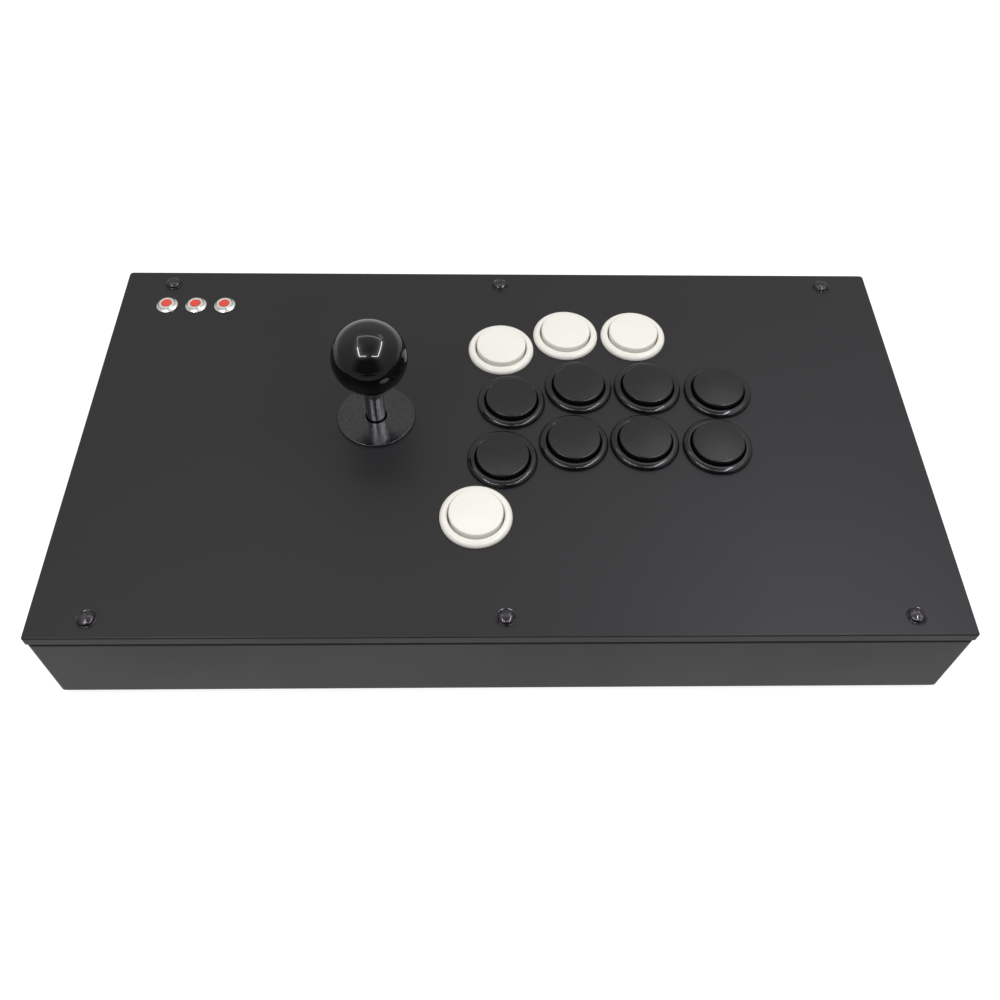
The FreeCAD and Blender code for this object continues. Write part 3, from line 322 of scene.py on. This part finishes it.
# CAD node, without any number at its end: its finish
CAD_FINISH = {
    "top_panel": "powder_coat_panel", "base_tray": "powder_coat_tray",
    "panel_rails": "powder_coat_rail", "panel_screws": "black_oxide",
    "panel_clinch_nuts": "zinc_plate", "panel_weld_studs": "zinc_plate",
    "hex_nuts": "zinc_plate", "rubber_feet": "foot_rubber", "foot_screws": "zinc_plate",
    "black_button_housings": "gloss_black", "white_button_housings": "ivory",
    "black_button_cap": "satin_black", "white_button_cap": "ivory",
    "button_switches": "switch_case", "switch_terminals": "tinned_brass",
    "menu_button_barrels": "menu_metal", "menu_button_nuts": "zinc_plate",
    "menu_button_plunger": "plunger_red", "joystick_mounting_plate": "zinc_plate",
    "joystick_housing_screws": "zinc_plate", "joystick_housing": "matte_black",
    "joystick_switch_board": "solder_mask", "restrictor_gate": "matte_black",
    "joystick_switches": "switch_case", "board_headers": "nylon_natural",
    "encoder_board": "solder_mask", "encoder_chips": "chip_case",
    "encoder_standoffs": "zinc_plate", "encoder_screws": "zinc_plate",
    "usb_socket": "plated_shell", "signal_loom": "wire_red", "ground_loom": "wire_black",
    "menu_wires": "wire_red", "joystick_cable": "wire_black", "usb_cable": "wire_black",
    "centering_spring": "bright_steel", "lever_shaft": "bright_steel",
    "ball_top": "ball_black", "shaft_cover": "cover_black", "lever_pivot": "matte_black",
    "lever_actuator": "matte_black", "lever_e_clip": "bright_steel",
    "dust_washer": "washer_black",
}


def smooth(obj, sharp_degrees):
    """Smooth shading with sharp edges kept and normals weighted to the large faces."""
    obj.data.shade_smooth()
    obj.data.set_sharp_from_angle(angle=math.radians(sharp_degrees))
    weighted = obj.modifiers.new("even_normals", "WEIGHTED_NORMAL")
    weighted.keep_sharp = True
    weighted.weight = 90


def paint(obj, finish):
    obj.data.materials.clear()
    obj.data.materials.append(finishes[finish])


for node_name, cad_piece in NODES.items():
    stem = node_name.rstrip("_0123456789")
    paint(cad_piece, CAD_FINISH.get(stem, "bright_steel"))
    smooth(cad_piece, sharp_degrees=28)


def dress(obj, finish, body, stands_for):
    """Paint a piece, hang it on the empty of the body that carries it, and hide the CAD node it
    replaces.
    """
    paint(obj, finish)
    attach(obj, body)
    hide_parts(stands_for)


def linked(name, data):
    """A new object in the scene."""
    obj = bpy.data.objects.new(name, data)
    scene.collection.objects.link(obj)
    return obj


# ---------------------------------------------------------------- turned shapes
# An outline is [(r, z, normal r, normal z)] in mm.
def eased(corners, steps=6):
    """Outline through corners [(r, z, ease)], solid on the left of the path. Each inner
    corner is rounded to the radius ease; steps is for a quarter turn."""
    points = [Vector((r, z)) for r, z, _ in corners]

    def outward(along):
        return along.y, -along.x

    outline = [(*points[0], *outward((points[1] - points[0]).normalized()))]
    for before, point, after, corner in zip(points, points[1:], points[2:], corners[1:]):
        ease = corner[2]
        enter = (point - before).normalized()
        leave = (after - point).normalized()
        turn = math.atan2(enter.x * leave.y - enter.y * leave.x, enter.dot(leave))
        sign = 1 if turn > 0 else -1
        start = point - enter * (ease * math.tan(abs(turn) / 2))
        middle = start - Vector(outward(enter)) * ease * sign
        count = max(2, int(steps * abs(turn) / (math.pi / 2)) + 1)
        for j in range(count + 1):
            cos, sin = math.cos(turn * j / count), math.sin(turn * j / count)
            along = Vector((enter.x * cos - enter.y * sin, enter.x * sin + enter.y * cos))
            spot = middle + Vector(outward(along)) * ease * sign
            outline.append((spot.x, spot.y, *outward(along)))
    outline.append((*points[-1], *outward((points[-1] - points[-2]).normalized())))
    return outline


def arc(middle, radii, degrees, steps):
    """Outline along an ellipse, degrees = (first, last)."""
    outline = []
    for i in range(steps + 1):
        angle = math.radians(degrees[0] + (degrees[1] - degrees[0]) * i / steps)
        cos, sin = math.cos(angle), math.sin(angle)
        normal = Vector((cos / radii[0], sin / radii[1])).normalized()
        outline.append((middle[0] + radii[0] * cos, middle[1] + radii[1] * sin, *normal))
    return outline


def turned(name, outline, at, segments, closed=False, hex_flats=None):
    """A lathe mesh about a vertical axis at `at`, with exact normals. hex_flats gives some
    rings, by index, a hexagon of that half width across flats (mm) in place of a circle."""
    hex_flats = hex_flats or {}
    verts, normals, faces, rings = [], [], [], []
    for i, (radius, z, normal_r, normal_z) in enumerate(outline):
        if radius < 1e-6:
            rings.append([len(verts)])
            verts.append((at.x, at.y, at.z + z * MM))
            normals.append((0.0, 0.0, 1.0 if normal_z >= 0 else -1.0))
            continue
        rings.append(range(len(verts), len(verts) + segments))
        for j in range(segments):
            angle = 2 * math.pi * j / segments
            cos, sin = math.cos(angle), math.sin(angle)
            reach = radius
            if i in hex_flats:
                reach = hex_flats[i] / math.cos((angle % (math.pi / 3)) - math.pi / 6)
            verts.append((at.x + reach * MM * cos, at.y + reach * MM * sin, at.z + z * MM))
            normals.append((normal_r * cos, normal_r * sin, normal_z))
    pairs = list(zip(rings[:-1], rings[1:]))
    if closed:
        pairs.append((rings[-1], rings[0]))
    for here, there in pairs:
        for j in range(segments):
            k = (j + 1) % segments
            if len(here) == 1:
                faces.append((here[0], there[k], there[j]))
            elif len(there) == 1:
                faces.append((here[j], here[k], there[0]))
            else:
                faces.append((here[j], here[k], there[k], there[j]))
    mesh = bpy.data.meshes.new(name)
    mesh.from_pydata(verts, [], faces)
    mesh.validate()
    mesh.update()
    mesh.shade_smooth()
    mesh.normals_split_custom_set_from_vertices([Vector(v).normalized() for v in normals])
    return linked(name, mesh)


def turned_ring(name, corners, at, segments, steps):
    """A closed ring turned from corners whose last point repeats the first."""
    return turned(name, eased(corners, steps)[:-1], at, segments, closed=True)


def joined(name, pieces):
    """Several meshes as one object, keeping their normals."""
    for obj in bpy.context.selected_objects:
        obj.select_set(False)
    for obj in pieces:
        obj.select_set(True)
    bpy.context.view_layer.objects.active = pieces[0]
    bpy.ops.object.join()
    pieces[0].name = name
    return pieces[0]


def on_panel(place):
    return Vector((place.x, place.y, TOP))


# ---------------------------------------------------------------- folded sheets
SKIN = 0.0020                            # sheet thickness of the panel and the tray
CORNER_STEPS = 8


class Sheet:
    """A sheet-metal mesh built from rings that follow a rounded rectangle."""

    def __init__(self, half_x, half_y, radii):
        """radii: back right, back left, front left and front right corner."""
        self.half_x, self.half_y, self.radii = half_x, half_y, radii
        self.mesh = bmesh.new()
        self.rings = []

    def ring(self, inset, z):
        """Add a counter-clockwise ring, pulled in by inset."""
        ring = []
        signs = ((1, 1), (-1, 1), (-1, -1), (1, -1))
        for (sign_x, sign_y), corner, first in zip(signs, self.radii, (0, 90, 180, 270)):
            radius = max(corner - inset, 0.00004)
            x = sign_x * (self.half_x - inset - radius)
            y = sign_y * (self.half_y - inset - radius)
            for i in range(CORNER_STEPS + 1):
                angle = math.radians(first + 90 * i / CORNER_STEPS)
                spot = (x + radius * math.cos(angle), y + radius * math.sin(angle), z)
                ring.append(self.mesh.verts.new(spot))
        self.rings.append(ring)

    def bend(self, degrees, radius, inset, z, signs, steps):
        """Rings round a quarter bend about (inset, z); signs turn its cosine and sine."""
        for i in range(steps + 1):
            angle = math.radians(degrees[0] + (degrees[1] - degrees[0]) * i / steps)
            self.ring(inset + signs[0] * radius * math.cos(angle),
                      z + signs[1] * radius * math.sin(angle))

    def circle(self, place, radius, z, segments):
        ring = []
        for i in range(segments):
            angle = 2 * math.pi * i / segments
            ring.append(self.mesh.verts.new((place.x + radius * math.cos(angle),
                                             place.y + radius * math.sin(angle), z)))
        return ring

    def loft(self, first, second):
        for i in range(len(first)):
            k = (i + 1) % len(first)
            self.mesh.faces.new((first[i], first[k], second[k], second[i]))

    def edges(self, ring):
        return [self.mesh.edges.get((ring[i - 1], ring[i]))
                for i in (*range(1, len(ring)), 0)]

    def finished(self, name, fills):
        """Fill between edge loops, fills = [(edges, facing z)], and make the object."""
        for edges, facing in fills:
            bmesh.ops.triangle_fill(self.mesh, use_beauty=True, use_dissolve=False,
                                    edges=edges, normal=(0, 0, facing))
        bmesh.ops.recalc_face_normals(self.mesh, faces=self.mesh.faces)
        mesh = bpy.data.meshes.new(name)
        self.mesh.to_mesh(mesh)
        self.mesh.free()
        return linked(name, mesh)


def build_panel():
    """Top panel: a sheet with folded-down sides and eased holes."""
    fold = 0.0008                        # outer radius of the fold
    lip_ease = 0.00035                   # rounding of the lower edge
    hole_ease = 0.00025
    sheet = Sheet(panel_high.x, panel_high.y, radii=(0.0020, 0.0020, 0.0010, 0.0010))
    lip_z = panel_low.z + lip_ease
    sheet.bend((90, 0), fold, inset=fold, z=TOP - fold, signs=(-1, 1), steps=10)
    sheet.bend((0, 90), lip_ease, inset=lip_ease, z=lip_z, signs=(-1, -1), steps=3)
    sheet.bend((90, 0), lip_ease, inset=SKIN - lip_ease, z=lip_z, signs=(1, -1), steps=3)
    sheet.ring(SKIN, TOP - SKIN)
    for outer, inner in zip(sheet.rings[:-1], sheet.rings[1:]):
        sheet.loft(inner, outer)
    top_edges, low_edges = sheet.edges(sheet.rings[0]), sheet.edges(sheet.rings[-1])
    # places, hole radius, segments
    for places, radius, segments in ((black_places + white_places, 0.0150, 72),
                                     ([lever], 0.0120, 64),
                                     (screw_places, 0.00225, 24),
                                     (menu_places, 0.0036, 28)):
        for place in places:
            circles = [sheet.circle(place, radius + wider, TOP - drop, segments)
                       for wider, drop in ((hole_ease, 0), (hole_ease * 0.3, hole_ease * 0.3),
                                           (0, hole_ease), (0, SKIN))]
            for upper, lower in zip(circles[:-1], circles[1:]):
                sheet.loft(lower, upper)
            top_edges += sheet.edges(circles[0])
            low_edges += sheet.edges(circles[-1])
    panel = sheet.finished("top_panel_sheet", [(top_edges, 1), (low_edges, -1)])
    smooth(panel, sharp_degrees=50)
    dress(panel, "powder_coat_panel", "case", "top_panel")


def cut_window(tray, wall_y):
    """Cut the socket's window through the wall at wall_y."""
    low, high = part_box("usb_socket")
    play = 0.0002
    middle = ((low.x + high.x) / 2, wall_y, (low.z + high.z) / 2)
    size = (high.x - low.x + 2 * play, 4 * SKIN, high.z - low.z + 2 * play, 1)
    tool_mesh = bpy.data.meshes.new("window_tool")
    block = bmesh.new()
    bmesh.ops.create_cube(block, size=1.0,
                          matrix=Matrix.Translation(middle) @ Matrix.Diagonal(size))
    block.to_mesh(tool_mesh)
    block.free()
    tool = linked("window_tool", tool_mesh)
    window = tray.modifiers.new("window", "BOOLEAN")
    window.operation = "DIFFERENCE"
    window.solver = "EXACT"
    window.object = tool
    bpy.context.view_layer.update()
    evaluated = tray.evaluated_get(bpy.context.evaluated_depsgraph_get())
    cut_mesh = bpy.data.meshes.new_from_object(evaluated)
    tray.modifiers.clear()
    tray.data = cut_mesh
    bpy.data.objects.remove(tool)


def build_tray():
    """Base tray: a bent sheet, open at the top, with the socket's window at the back."""
    low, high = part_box("base_tray")
    floor_bend, rim_bend, rim_ease = 0.0013, 0.0015, 0.0003
    crease = 0.0004                      # chamfer between inner wall and floor
    sheet = Sheet(high.x, high.y, radii=(0.0022,) * 4)
    # outer bend of the floor, outer top edge, inner top edge, then down inside
    sheet.bend((90, 0), floor_bend, inset=floor_bend, z=low.z + floor_bend,
               signs=(-1, -1), steps=8)
    sheet.bend((0, 90), rim_bend, inset=rim_bend, z=high.z - rim_bend, signs=(-1, 1), steps=8)
    sheet.bend((90, 0), rim_ease, inset=SKIN - rim_ease, z=high.z - rim_ease,
               signs=(1, 1), steps=3)
    sheet.ring(SKIN, low.z + SKIN + crease)
    sheet.ring(SKIN + crease, low.z + SKIN)
    for first, second in zip(sheet.rings[:-1], sheet.rings[1:]):
        sheet.loft(first, second)
    low_edges, top_edges = sheet.edges(sheet.rings[0]), sheet.edges(sheet.rings[-1])
    # places, hole radius, segments
    for places, radius, segments in ((foot_places, 0.00225, 24), (standoff_places, 0.0016, 20)):
        for place in places:
            lower = sheet.circle(place, radius, low.z, segments)
            upper = sheet.circle(place, radius, low.z + SKIN, segments)
            sheet.loft(lower, upper)
            low_edges += sheet.edges(lower)
            top_edges += sheet.edges(upper)
    tray = sheet.finished("tray_sheet", [(low_edges, -1), (top_edges, 1)])
    cut_window(tray, high.y)
    smooth(tray, sharp_degrees=50)
    dress(tray, "powder_coat_tray", "case", "base_tray")


build_panel()
build_tray()


# ---------------------------------------------------------------- push buttons
def ring_outline():
    """Housing: low vertical edge, long convex flank to a crest, quick turn down the bore."""
    return [
        (14.8, -28.0, 1.0, 0.0), (14.8, -0.02, 1.0, 0.0), (16.55, -0.02, 0.3, -0.95),
        (16.65, 0.10, 1.0, 0.0), (16.65, 0.42, 1.0, 0.0),
        *arc(middle=(14.0, 0.42), radii=(2.65, 2.08), degrees=(0, 90), steps=16)[1:],
        (13.75, 2.5, 0.0, 1.0),
        *arc(middle=(13.75, 1.75), radii=(0.75, 0.75), degrees=(90, 180), steps=8)[1:],
        (13.0, 0.9, -1.0, 0.0), (12.8, 0.4, -1.0, 0.2), (12.8, -18.0, -1.0, 0.0),
        (12.75, -18.05, 0.0, 1.0), (3.3, -18.05, 0.0, 1.0), (3.25, -18.1, -1.0, 0.0),
        (3.25, -20.0, -1.0, 0.0), (3.3, -20.05, 0.0, -1.0), (12.95, -20.05, 0.0, -1.0),
        (13.0, -20.1, -1.0, 0.0), (13.0, -28.0, -1.0, 0.0), (13.05, -28.05, 0.0, -1.0),
        (14.75, -28.05, 0.0, -1.0)]


def cap_outline():
    """Plunger: straight skirt, eased top edge and a very shallow dome over the face."""
    top, dome_rise, dome_half, dome_steps = 5.0, 0.50, 11.55, 8
    dome_r = (dome_half ** 2 + dome_rise ** 2) / (2 * dome_rise)
    tilt = math.degrees(math.asin(dome_half / dome_r))       # slope at the dome's edge
    outline = [
        (0.0, -16.2, 0.0, -1.0), (3.0, -16.2, 0.0, -1.0), (3.2, -16.0, 1.0, 0.0),
        (3.2, 2.5, 1.0, 0.0), (3.3, 2.6, 0.0, -1.0), (10.9, 2.6, 0.0, -1.0),
        (11.0, 2.5, -1.0, 0.0), (11.0, -12.9, -1.0, 0.0), (11.1, -13.0, 0.0, -1.0),
        (12.4, -13.0, 0.0, -1.0), (12.5, -12.9, 1.0, 0.0), (12.5, 4.00, 1.0, 0.0),
        *arc(middle=(11.60, 4.00), radii=(0.90, 0.80), degrees=(0, 90 - tilt), steps=10)[1:]]
    for k in range(1, dome_steps + 1):
        angle = math.radians(tilt * (1 - k / dome_steps))
        sin, cos = math.sin(angle), math.cos(angle)
        outline.append((dome_r * sin, top - dome_r * (1 - cos), sin, cos))
    return outline


def build_buttons(colour, places, ring_finish, cap_finish):
    housing, cap = ring_outline(), cap_outline()
    rings = joined("%s_button_rings" % colour,
                   [turned("%s_ring" % colour, housing, on_panel(place), 96, closed=True)
                    for place in places])
    dress(rings, ring_finish, "case", "%s_button_housings" % colour)
    for i, place in enumerate(places, 1):
        plunger = turned("%s_plunger_%d" % (colour, i), cap, on_panel(place), 96)
        dress(plunger, cap_finish, "%s_button_%d" % (colour, i),
              "%s_button_cap_%d" % (colour, i))


build_buttons("black", black_places, "gloss_black", "satin_black")
build_buttons("white", white_places, "ivory", "ivory")


# ---------------------------------------------------------------- menu buttons and screws
# corners: r, z, ease in mm
BARREL = [(0.0, -16.0, 0), (3.45, -16.0, 0.3), (3.45, 0.0, 0.05), (5.5, 0.0, 0.10),
          (5.5, 0.55, 0.22), (4.45, 1.30, 0.6), (3.85, 2.05, 0.25), (2.72, 2.05, 0.10),
          (2.70, -12.0, 0.05), (0.0, -12.0, 0)]
MENU_PLUNGER = [(0.0, -10.0, 0), (2.62, -10.0, 0.1), (2.62, 2.32, 0.25), (1.2, 2.25, 0.6),
                (0.0, 2.25, 0)]
SCREW_HEAD = [(0.0, -10.0, 0), (2.0, -10.0, 0.3), (2.0, 0.0, 0.05), (4.4, 0.0, 0.08),
              (4.4, 0.36, 0.16), (4.18, 0.50, 0.12), (3.90, 0.34, 0.08), (3.74, 0.34, 0.08),
              (3.72, 0.66, 0.30), (3.36, 1.28, 1.6), (2.45, 1.84, 2.6), (1.15, 2.12, 0.6)]
# outline: r, z, normal r, normal z
SCREW_SOCKET = [(1.10, 2.12, 0.0, 1.0), (1.02, 2.11, -0.2, 0.98), (1.00, 2.00, -0.3, 0.95),
                (0.95, 1.99, 0.0, 1.0), (0.0, 1.98, 0.0, 1.0)]


def build_menu_buttons():
    outline = eased(BARREL)
    barrels = joined("menu_barrels", [turned("menu_barrel", outline, on_panel(place), 72)
                                      for place in menu_places])
    dress(barrels, "menu_metal", "case", "menu_button_barrels")
    outline = eased(MENU_PLUNGER)
    for i, place in enumerate(menu_places, 1):
        plunger = turned("menu_plunger_%d" % i, outline, on_panel(place), 64)
        dress(plunger, "plunger_red", "menu_button_%d" % i,
              "menu_button_plunger_%d" % i)


def build_screws():
    """Flanged button heads with a hex socket 1.8 mm across flats."""
    head = eased(SCREW_HEAD, steps=8)
    first = len(head)
    flats = {first + 1: 0.94, first + 2: 0.90, first + 3: 0.90}
    heads = [turned("screw", head + SCREW_SOCKET, on_panel(place), 72, hex_flats=flats)
             for place in screw_places]
    dress(joined("panel_screw_heads", heads), "black_oxide", "case",
          "panel_screws")


build_menu_buttons()
build_screws()


# ---------------------------------------------------------------- lever and feet
def build_ball():
    """Ball knob, cut flat below, with a 14 mm deep bore for the shaft."""
    radius = BALL_R / MM
    flat = (ball_low.z - BALL.z) / MM
    flat_degrees = math.degrees(math.asin(flat / radius))
    flat_r = radius * math.cos(math.radians(flat_degrees))
    bore, bore_top = 3.45, flat + 14.0
    outline = [(0.0, bore_top, 0.0, -1.0), (bore, bore_top, -1.0, 0.0),
               (bore, flat + 0.05, -1.0, 0.0), (bore + 0.05, flat, 0.0, -1.0),
               (flat_r - 0.25, flat, 0.0, -1.0),
               *arc(middle=(0, 0), radii=(radius, radius), degrees=(flat_degrees + 0.6, 90),
                    steps=72)]
    dress(turned("ball_knob", outline, BALL, 128), "ball_black", "lever",
          "ball_top")


def build_lever_ring(name, node, bore, eases, segments, steps, finish, body):
    """A bored disc or sleeve filling a CAD node's box. eases: bottom of the bore, bottom
    outside, top outside, top of the bore (mm)."""
    low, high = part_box(node)
    tall = (high.z - low.z) / MM
    outer = (high.x - low.x) / 2 / MM
    corners = [(bore, tall / 2, 0), (bore, 0.0, eases[0]), (outer, 0.0, eases[1]),
               (outer, tall, eases[2]), (bore, tall, eases[3]), (bore, tall / 2, 0)]
    at = Vector((lever.x, lever.y, low.z))
    dress(turned_ring(name, corners, at, segments, steps), finish, body, node)


def build_feet():
    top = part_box("rubber_feet")[1].z / MM
    seat, recess = top - 0.02, top - 1.4
    corners = [(4.4, 1.5, 0), (4.4, 0.0, 0.35), (9.0, 0.0, 0.7), (10.0, seat, 0.5),
               (2.25, seat, 0.05), (2.25, recess, 0.05), (4.4, recess, 0.2), (4.4, 1.5, 0)]
    feet = [turned_ring("foot", corners, Vector((place.x, place.y, 0.0)), 72, steps=6)
            for place in foot_places]
    dress(joined("rubber_pads", feet), "foot_rubber", "case", "rubber_feet")


build_ball()
build_lever_ring("shaft_sleeve", "shaft_cover", bore=3.45, eases=(0.15, 0.3, 0.35, 0.1),
                 segments=96, steps=5, finish="cover_black", body="lever")
build_lever_ring("dust_disc", "dust_washer", bore=5.15, eases=(0.08, 0.12, 0.38, 0.16),
                 segments=128, steps=6, finish="washer_black", body="washer")
build_feet()


# ---------------------------------------------------------------- studio floor
def floor_finish():
    """A pale sheet that glows: white to the camera, soft grey in reflections, clear from below.
    Its glow is painted light, not lamp light.
    """
    camera_level = 0.80
    shade = material("studio_floor")
    path = shade.add("ShaderNodeLightPath")
    geometry = shade.add("ShaderNodeNewGeometry")
    split = shade.add("ShaderNodeSeparateXYZ")
    shade.link(geometry.outputs["Position"], split.inputs[0])
    x, y, _ = split.outputs
    # painted shade in front, where the tent is open, and painted light brighter towards the
    # back
    ahead = shade.times(
        shade.ramp(y, between=(-0.66, -0.54), to=(1.0, 0.0)),
        shade.ramp(shade.math("ABSOLUTE", x), between=(0.20, 0.45), to=(1.0, 0.0)))
    level = shade.plus(0.08, shade.times(
        shade.minus(1.0, ahead), shade.ramp(y, between=(-0.20, 0.45), to=(0.28, 0.75))))
    # beside the box the painted glow is as bright as the camera sees it
    close = shade.times(
        shade.ramp(shade.math("ABSOLUTE", x), between=(0.26, 0.36), to=(1.0, 0.0)),
        shade.ramp(shade.math("ABSOLUTE", y), between=(0.18, 0.25), to=(1.0, 0.0)))
    level = shade.plus(shade.times(level, shade.minus(1.0, close)),
                       shade.times(close, camera_level))
    glow = shade.add("ShaderNodeMix", data_type="FLOAT")
    shade.link(path.outputs["Is Camera Ray"], glow.inputs[0])
    shade.link(level, glow.inputs[2])
    glow.inputs[3].default_value = camera_level
    emission = shade.add("ShaderNodeEmission")
    shade.link(glow.outputs[0], emission.inputs["Strength"])
    shade.feed(emission.inputs["Color"], (1, 1, 1))
    diffuse = shade.add("ShaderNodeBsdfDiffuse")
    grain = shade.noise(shade.coords(), size_mm=30)
    shade.link(shade.mix(grain, (0.32, 0.32, 0.32), (0.35, 0.35, 0.35)),
               diffuse.inputs["Color"])
    both = shade.add("ShaderNodeAddShader")
    shade.link(emission.outputs[0], both.inputs[0])
    shade.link(diffuse.outputs[0], both.inputs[1])
    above = shade.mix_shaders(path.outputs["Is Camera Ray"], emission.outputs[0],
                              both.outputs[0])
    clear = shade.add("ShaderNodeBsdfTransparent").outputs[0]
    shade.link(shade.mix_shaders(geometry.outputs["Backfacing"], above, clear),
               shade.tree.nodes["Material Output"].inputs["Surface"])


bpy.ops.mesh.primitive_plane_add(size=6.0, location=(0, 0, 0))
floor = bpy.context.object
floor.name = "studio_floor"
floor_finish()
floor.data.materials.append(finishes["studio_floor"])

# ---------------------------------------------------------------- tent and overhead frame
DRAWN_RISE = 0.6575      # height above the ball for which the lit frame is laid out

# glow round the lit frame: x from, x to, y from, y to, peak, reach
HALOS = (
    (0.505, 0.510, -0.50, 0.18, 2.6, 0.080),
    (-0.330, -0.325, -0.50, -0.16, 2.8, 0.075),
    (-0.330, -0.325, -0.10, 0.28, 0.6, 0.080),
    (-0.22, 0.40, 0.270, 0.285, 0.55, 0.090),
    (-0.32, -0.10, -0.530, -0.525, 1.3, 0.070),
    (0.28, 0.50, -0.530, -0.525, 0.8, 0.060),
)


def build_tent():
    """World: a soft white tent, dim at its front opening, white to the camera."""
    world = bpy.data.worlds.new("tent")
    scene.world = world
    world.use_nodes = True
    shade = Shade(world.node_tree)
    split = shade.add("ShaderNodeSeparateXYZ")
    shade.link(shade.add("ShaderNodeTexCoord").outputs["Generated"], split.inputs[0])
    x, y, z = split.outputs
    up = shade.math("MAXIMUM", z, 0.0)
    flat = shade.math("SQRT", shade.plus(shade.times(x, x),
                                         shade.plus(shade.times(y, y), 1e-4)))
    front = shade.times(y, -1.0)
    facing = shade.math("DIVIDE", front, flat)    # 1 straight to the front, -1 to the back

    def blend(factor, first, second):
        return shade.plus(first, shade.times(factor, shade.minus(second, first)))

    def on_frame(axis):
        """Where a direction meets the plane of the frame, from the ball."""
        return shade.times(shade.math("DIVIDE", axis, shade.math("MAXIMUM", up, 0.05)),
                           DRAWN_RISE)

    def beyond(value, start, end):
        """Distance outside the range start to end."""
        return shade.math("MAXIMUM", shade.minus(start, value),
                          shade.math("MAXIMUM", shade.minus(value, end), 0.0))

    back_wall = shade.ramp(up, between=(0.20, 0.50), to=(0.55, 0.68))
    side_wall = shade.ramp(up, between=(0.10, 0.60), to=(0.41, 0.52))
    wall = blend(shade.ramp(facing, between=(-0.75, 0.25), to=(1.0, 0.0)),
                 side_wall, back_wall)
    roof = shade.ramp(front, between=(-0.10, 0.35), to=(0.48, 0.31))
    level = blend(shade.ramp(up, between=(0.80, 0.92)), wall, roof)
    opening = shade.times(shade.ramp(facing, between=(0.62, 0.95)),
                          shade.ramp(up, between=(0.66, 0.80), to=(1.0, 0.0)))
    opening_level = 0.075
    level = blend(opening, level, opening_level)
    frame_x, frame_y = on_frame(x), on_frame(y)
    for x_from, x_to, y_from, y_to, peak, reach in HALOS:
        gap_x = beyond(frame_x, x_from, x_to)
        gap_y = beyond(frame_y, y_from, y_to)
        away = shade.math("SQRT", shade.plus(shade.times(gap_x, gap_x),
                                             shade.times(gap_y, gap_y)))
        fade = shade.math("EXPONENT", shade.times(away, -1.0 / reach))
        level = shade.plus(level, shade.times(fade, peak))
    wall_tint = roof_tint = (1.0, 0.985, 1.0)
    tint = shade.mix(shade.ramp(up, between=(0.5, 0.9)), wall_tint, roof_tint)
    path = shade.add("ShaderNodeLightPath")
    color = shade.mix(path.outputs["Is Camera Ray"], shade.scaled(tint, level),
                      (1.0, 1.0, 1.0))
    shade.link(color, shade.tree.nodes["Background"].inputs["Color"])


build_tent()

RAISE = 0.50                                      # height of the lit frame above the panel
NEAR = (RAISE - (BALL.z - TOP)) / DRAWN_RISE      # scale from the layout to that height
BRIGHT = 26.0
LAMP = (1.0, 0.95, 1.09)
# name, x and y of one end, x and y of the other, radiance, color, width
STRIPS = (
    ("strip_right", 0.450, -0.510, 0.450, 0.222, BRIGHT, LAMP, 0.035),
    ("strip_left", -0.392, -0.520, -0.392, -0.117, BRIGHT, LAMP, 0.035),
    ("strip_left_dim", -0.392, -0.117, -0.392, 0.290, 2.6, (1.0, 0.95, 0.82), 0.035),
    ("strip_front_left", -0.392, -0.512, -0.088, -0.512, BRIGHT * 0.7, LAMP, 0.035),
    ("strip_front_right", 0.142, -0.512, 0.444, -0.512, BRIGHT * 0.85, LAMP, 0.035),
    ("strip_back_dim", -0.392, 0.292, 0.418, 0.292, 3.0, (1.0, 0.95, 0.86), 0.048),
)


def near(x, y):
    """Bring a point of the layout down to the frame, keeping its bearing from the lever."""
    return lever.x + (x - lever.x) * NEAR, lever.y + (y - lever.y) * NEAR


def area_light(name, shape, x, y, radiance, area, color):
    """A lamp in the plane of the frame, facing down."""
    light = bpy.data.lights.new(name, "AREA")
    light.shape = shape
    light.color = color
    light.energy = radiance * math.pi * area
    lamp = linked(name, light)
    lamp.location = (x, y, TOP + RAISE)
    return lamp


for name, x0, y0, x1, y1, radiance, color, width in STRIPS:
    (x0, y0), (x1, y1) = near(x0, y0), near(x1, y1)
    width *= NEAR
    length = math.hypot(x1 - x0, y1 - y0)
    strip = area_light(name, "RECTANGLE", (x0 + x1) / 2, (y0 + y1) / 2, radiance,
                       length * width, color)
    strip.data.size = length
    strip.data.size_y = width
    strip.rotation_euler = (0, 0, math.atan2(y1 - y0, x1 - x0))

# a soft glow behind the frame's right back corner
glow_r = 0.13 * NEAR
corner_glow = area_light("corner_glow", "DISK", *near(0.400, 0.465), radiance=0.95,
                         area=math.pi * glow_r ** 2, color=(1.0, 0.97, 1.03))
corner_glow.data.size = 2 * glow_r

# ---------------------------------------------------------------- camera
EYE = Vector((-0.011895, -0.301044, TOP + 0.384138))
PITCH, YAW, ROLL = 0.91968012, -0.04376334, 0.03537579      # radians; pitch is downwards


def build_camera():
    data = bpy.data.cameras.new("camera")
    camera = linked("camera", data)
    forward = Vector((0, math.cos(PITCH), -math.sin(PITCH)))
    right = Vector((1, 0, 0))
    up = right.cross(forward)
    turn = Matrix.Rotation(YAW, 3, "Z")
    forward, right, up = turn @ forward, turn @ right, turn @ up
    cos, sin = math.cos(ROLL), math.sin(ROLL)
    right, up = cos * right + sin * up, -sin * right + cos * up
    axes = Matrix((right, up, -forward)).transposed()
    camera.matrix_world = Matrix.Translation(EYE) @ axes.to_4x4()
    data.sensor_width = 36.0
    data.lens = 36.42012
    data.shift_x = -0.00482
    data.shift_y = -0.05499
    data.clip_start = 0.01
    scene.camera = camera


build_camera()
scene.view_settings.view_transform = "Standard"
scene.view_settings.look = "None"
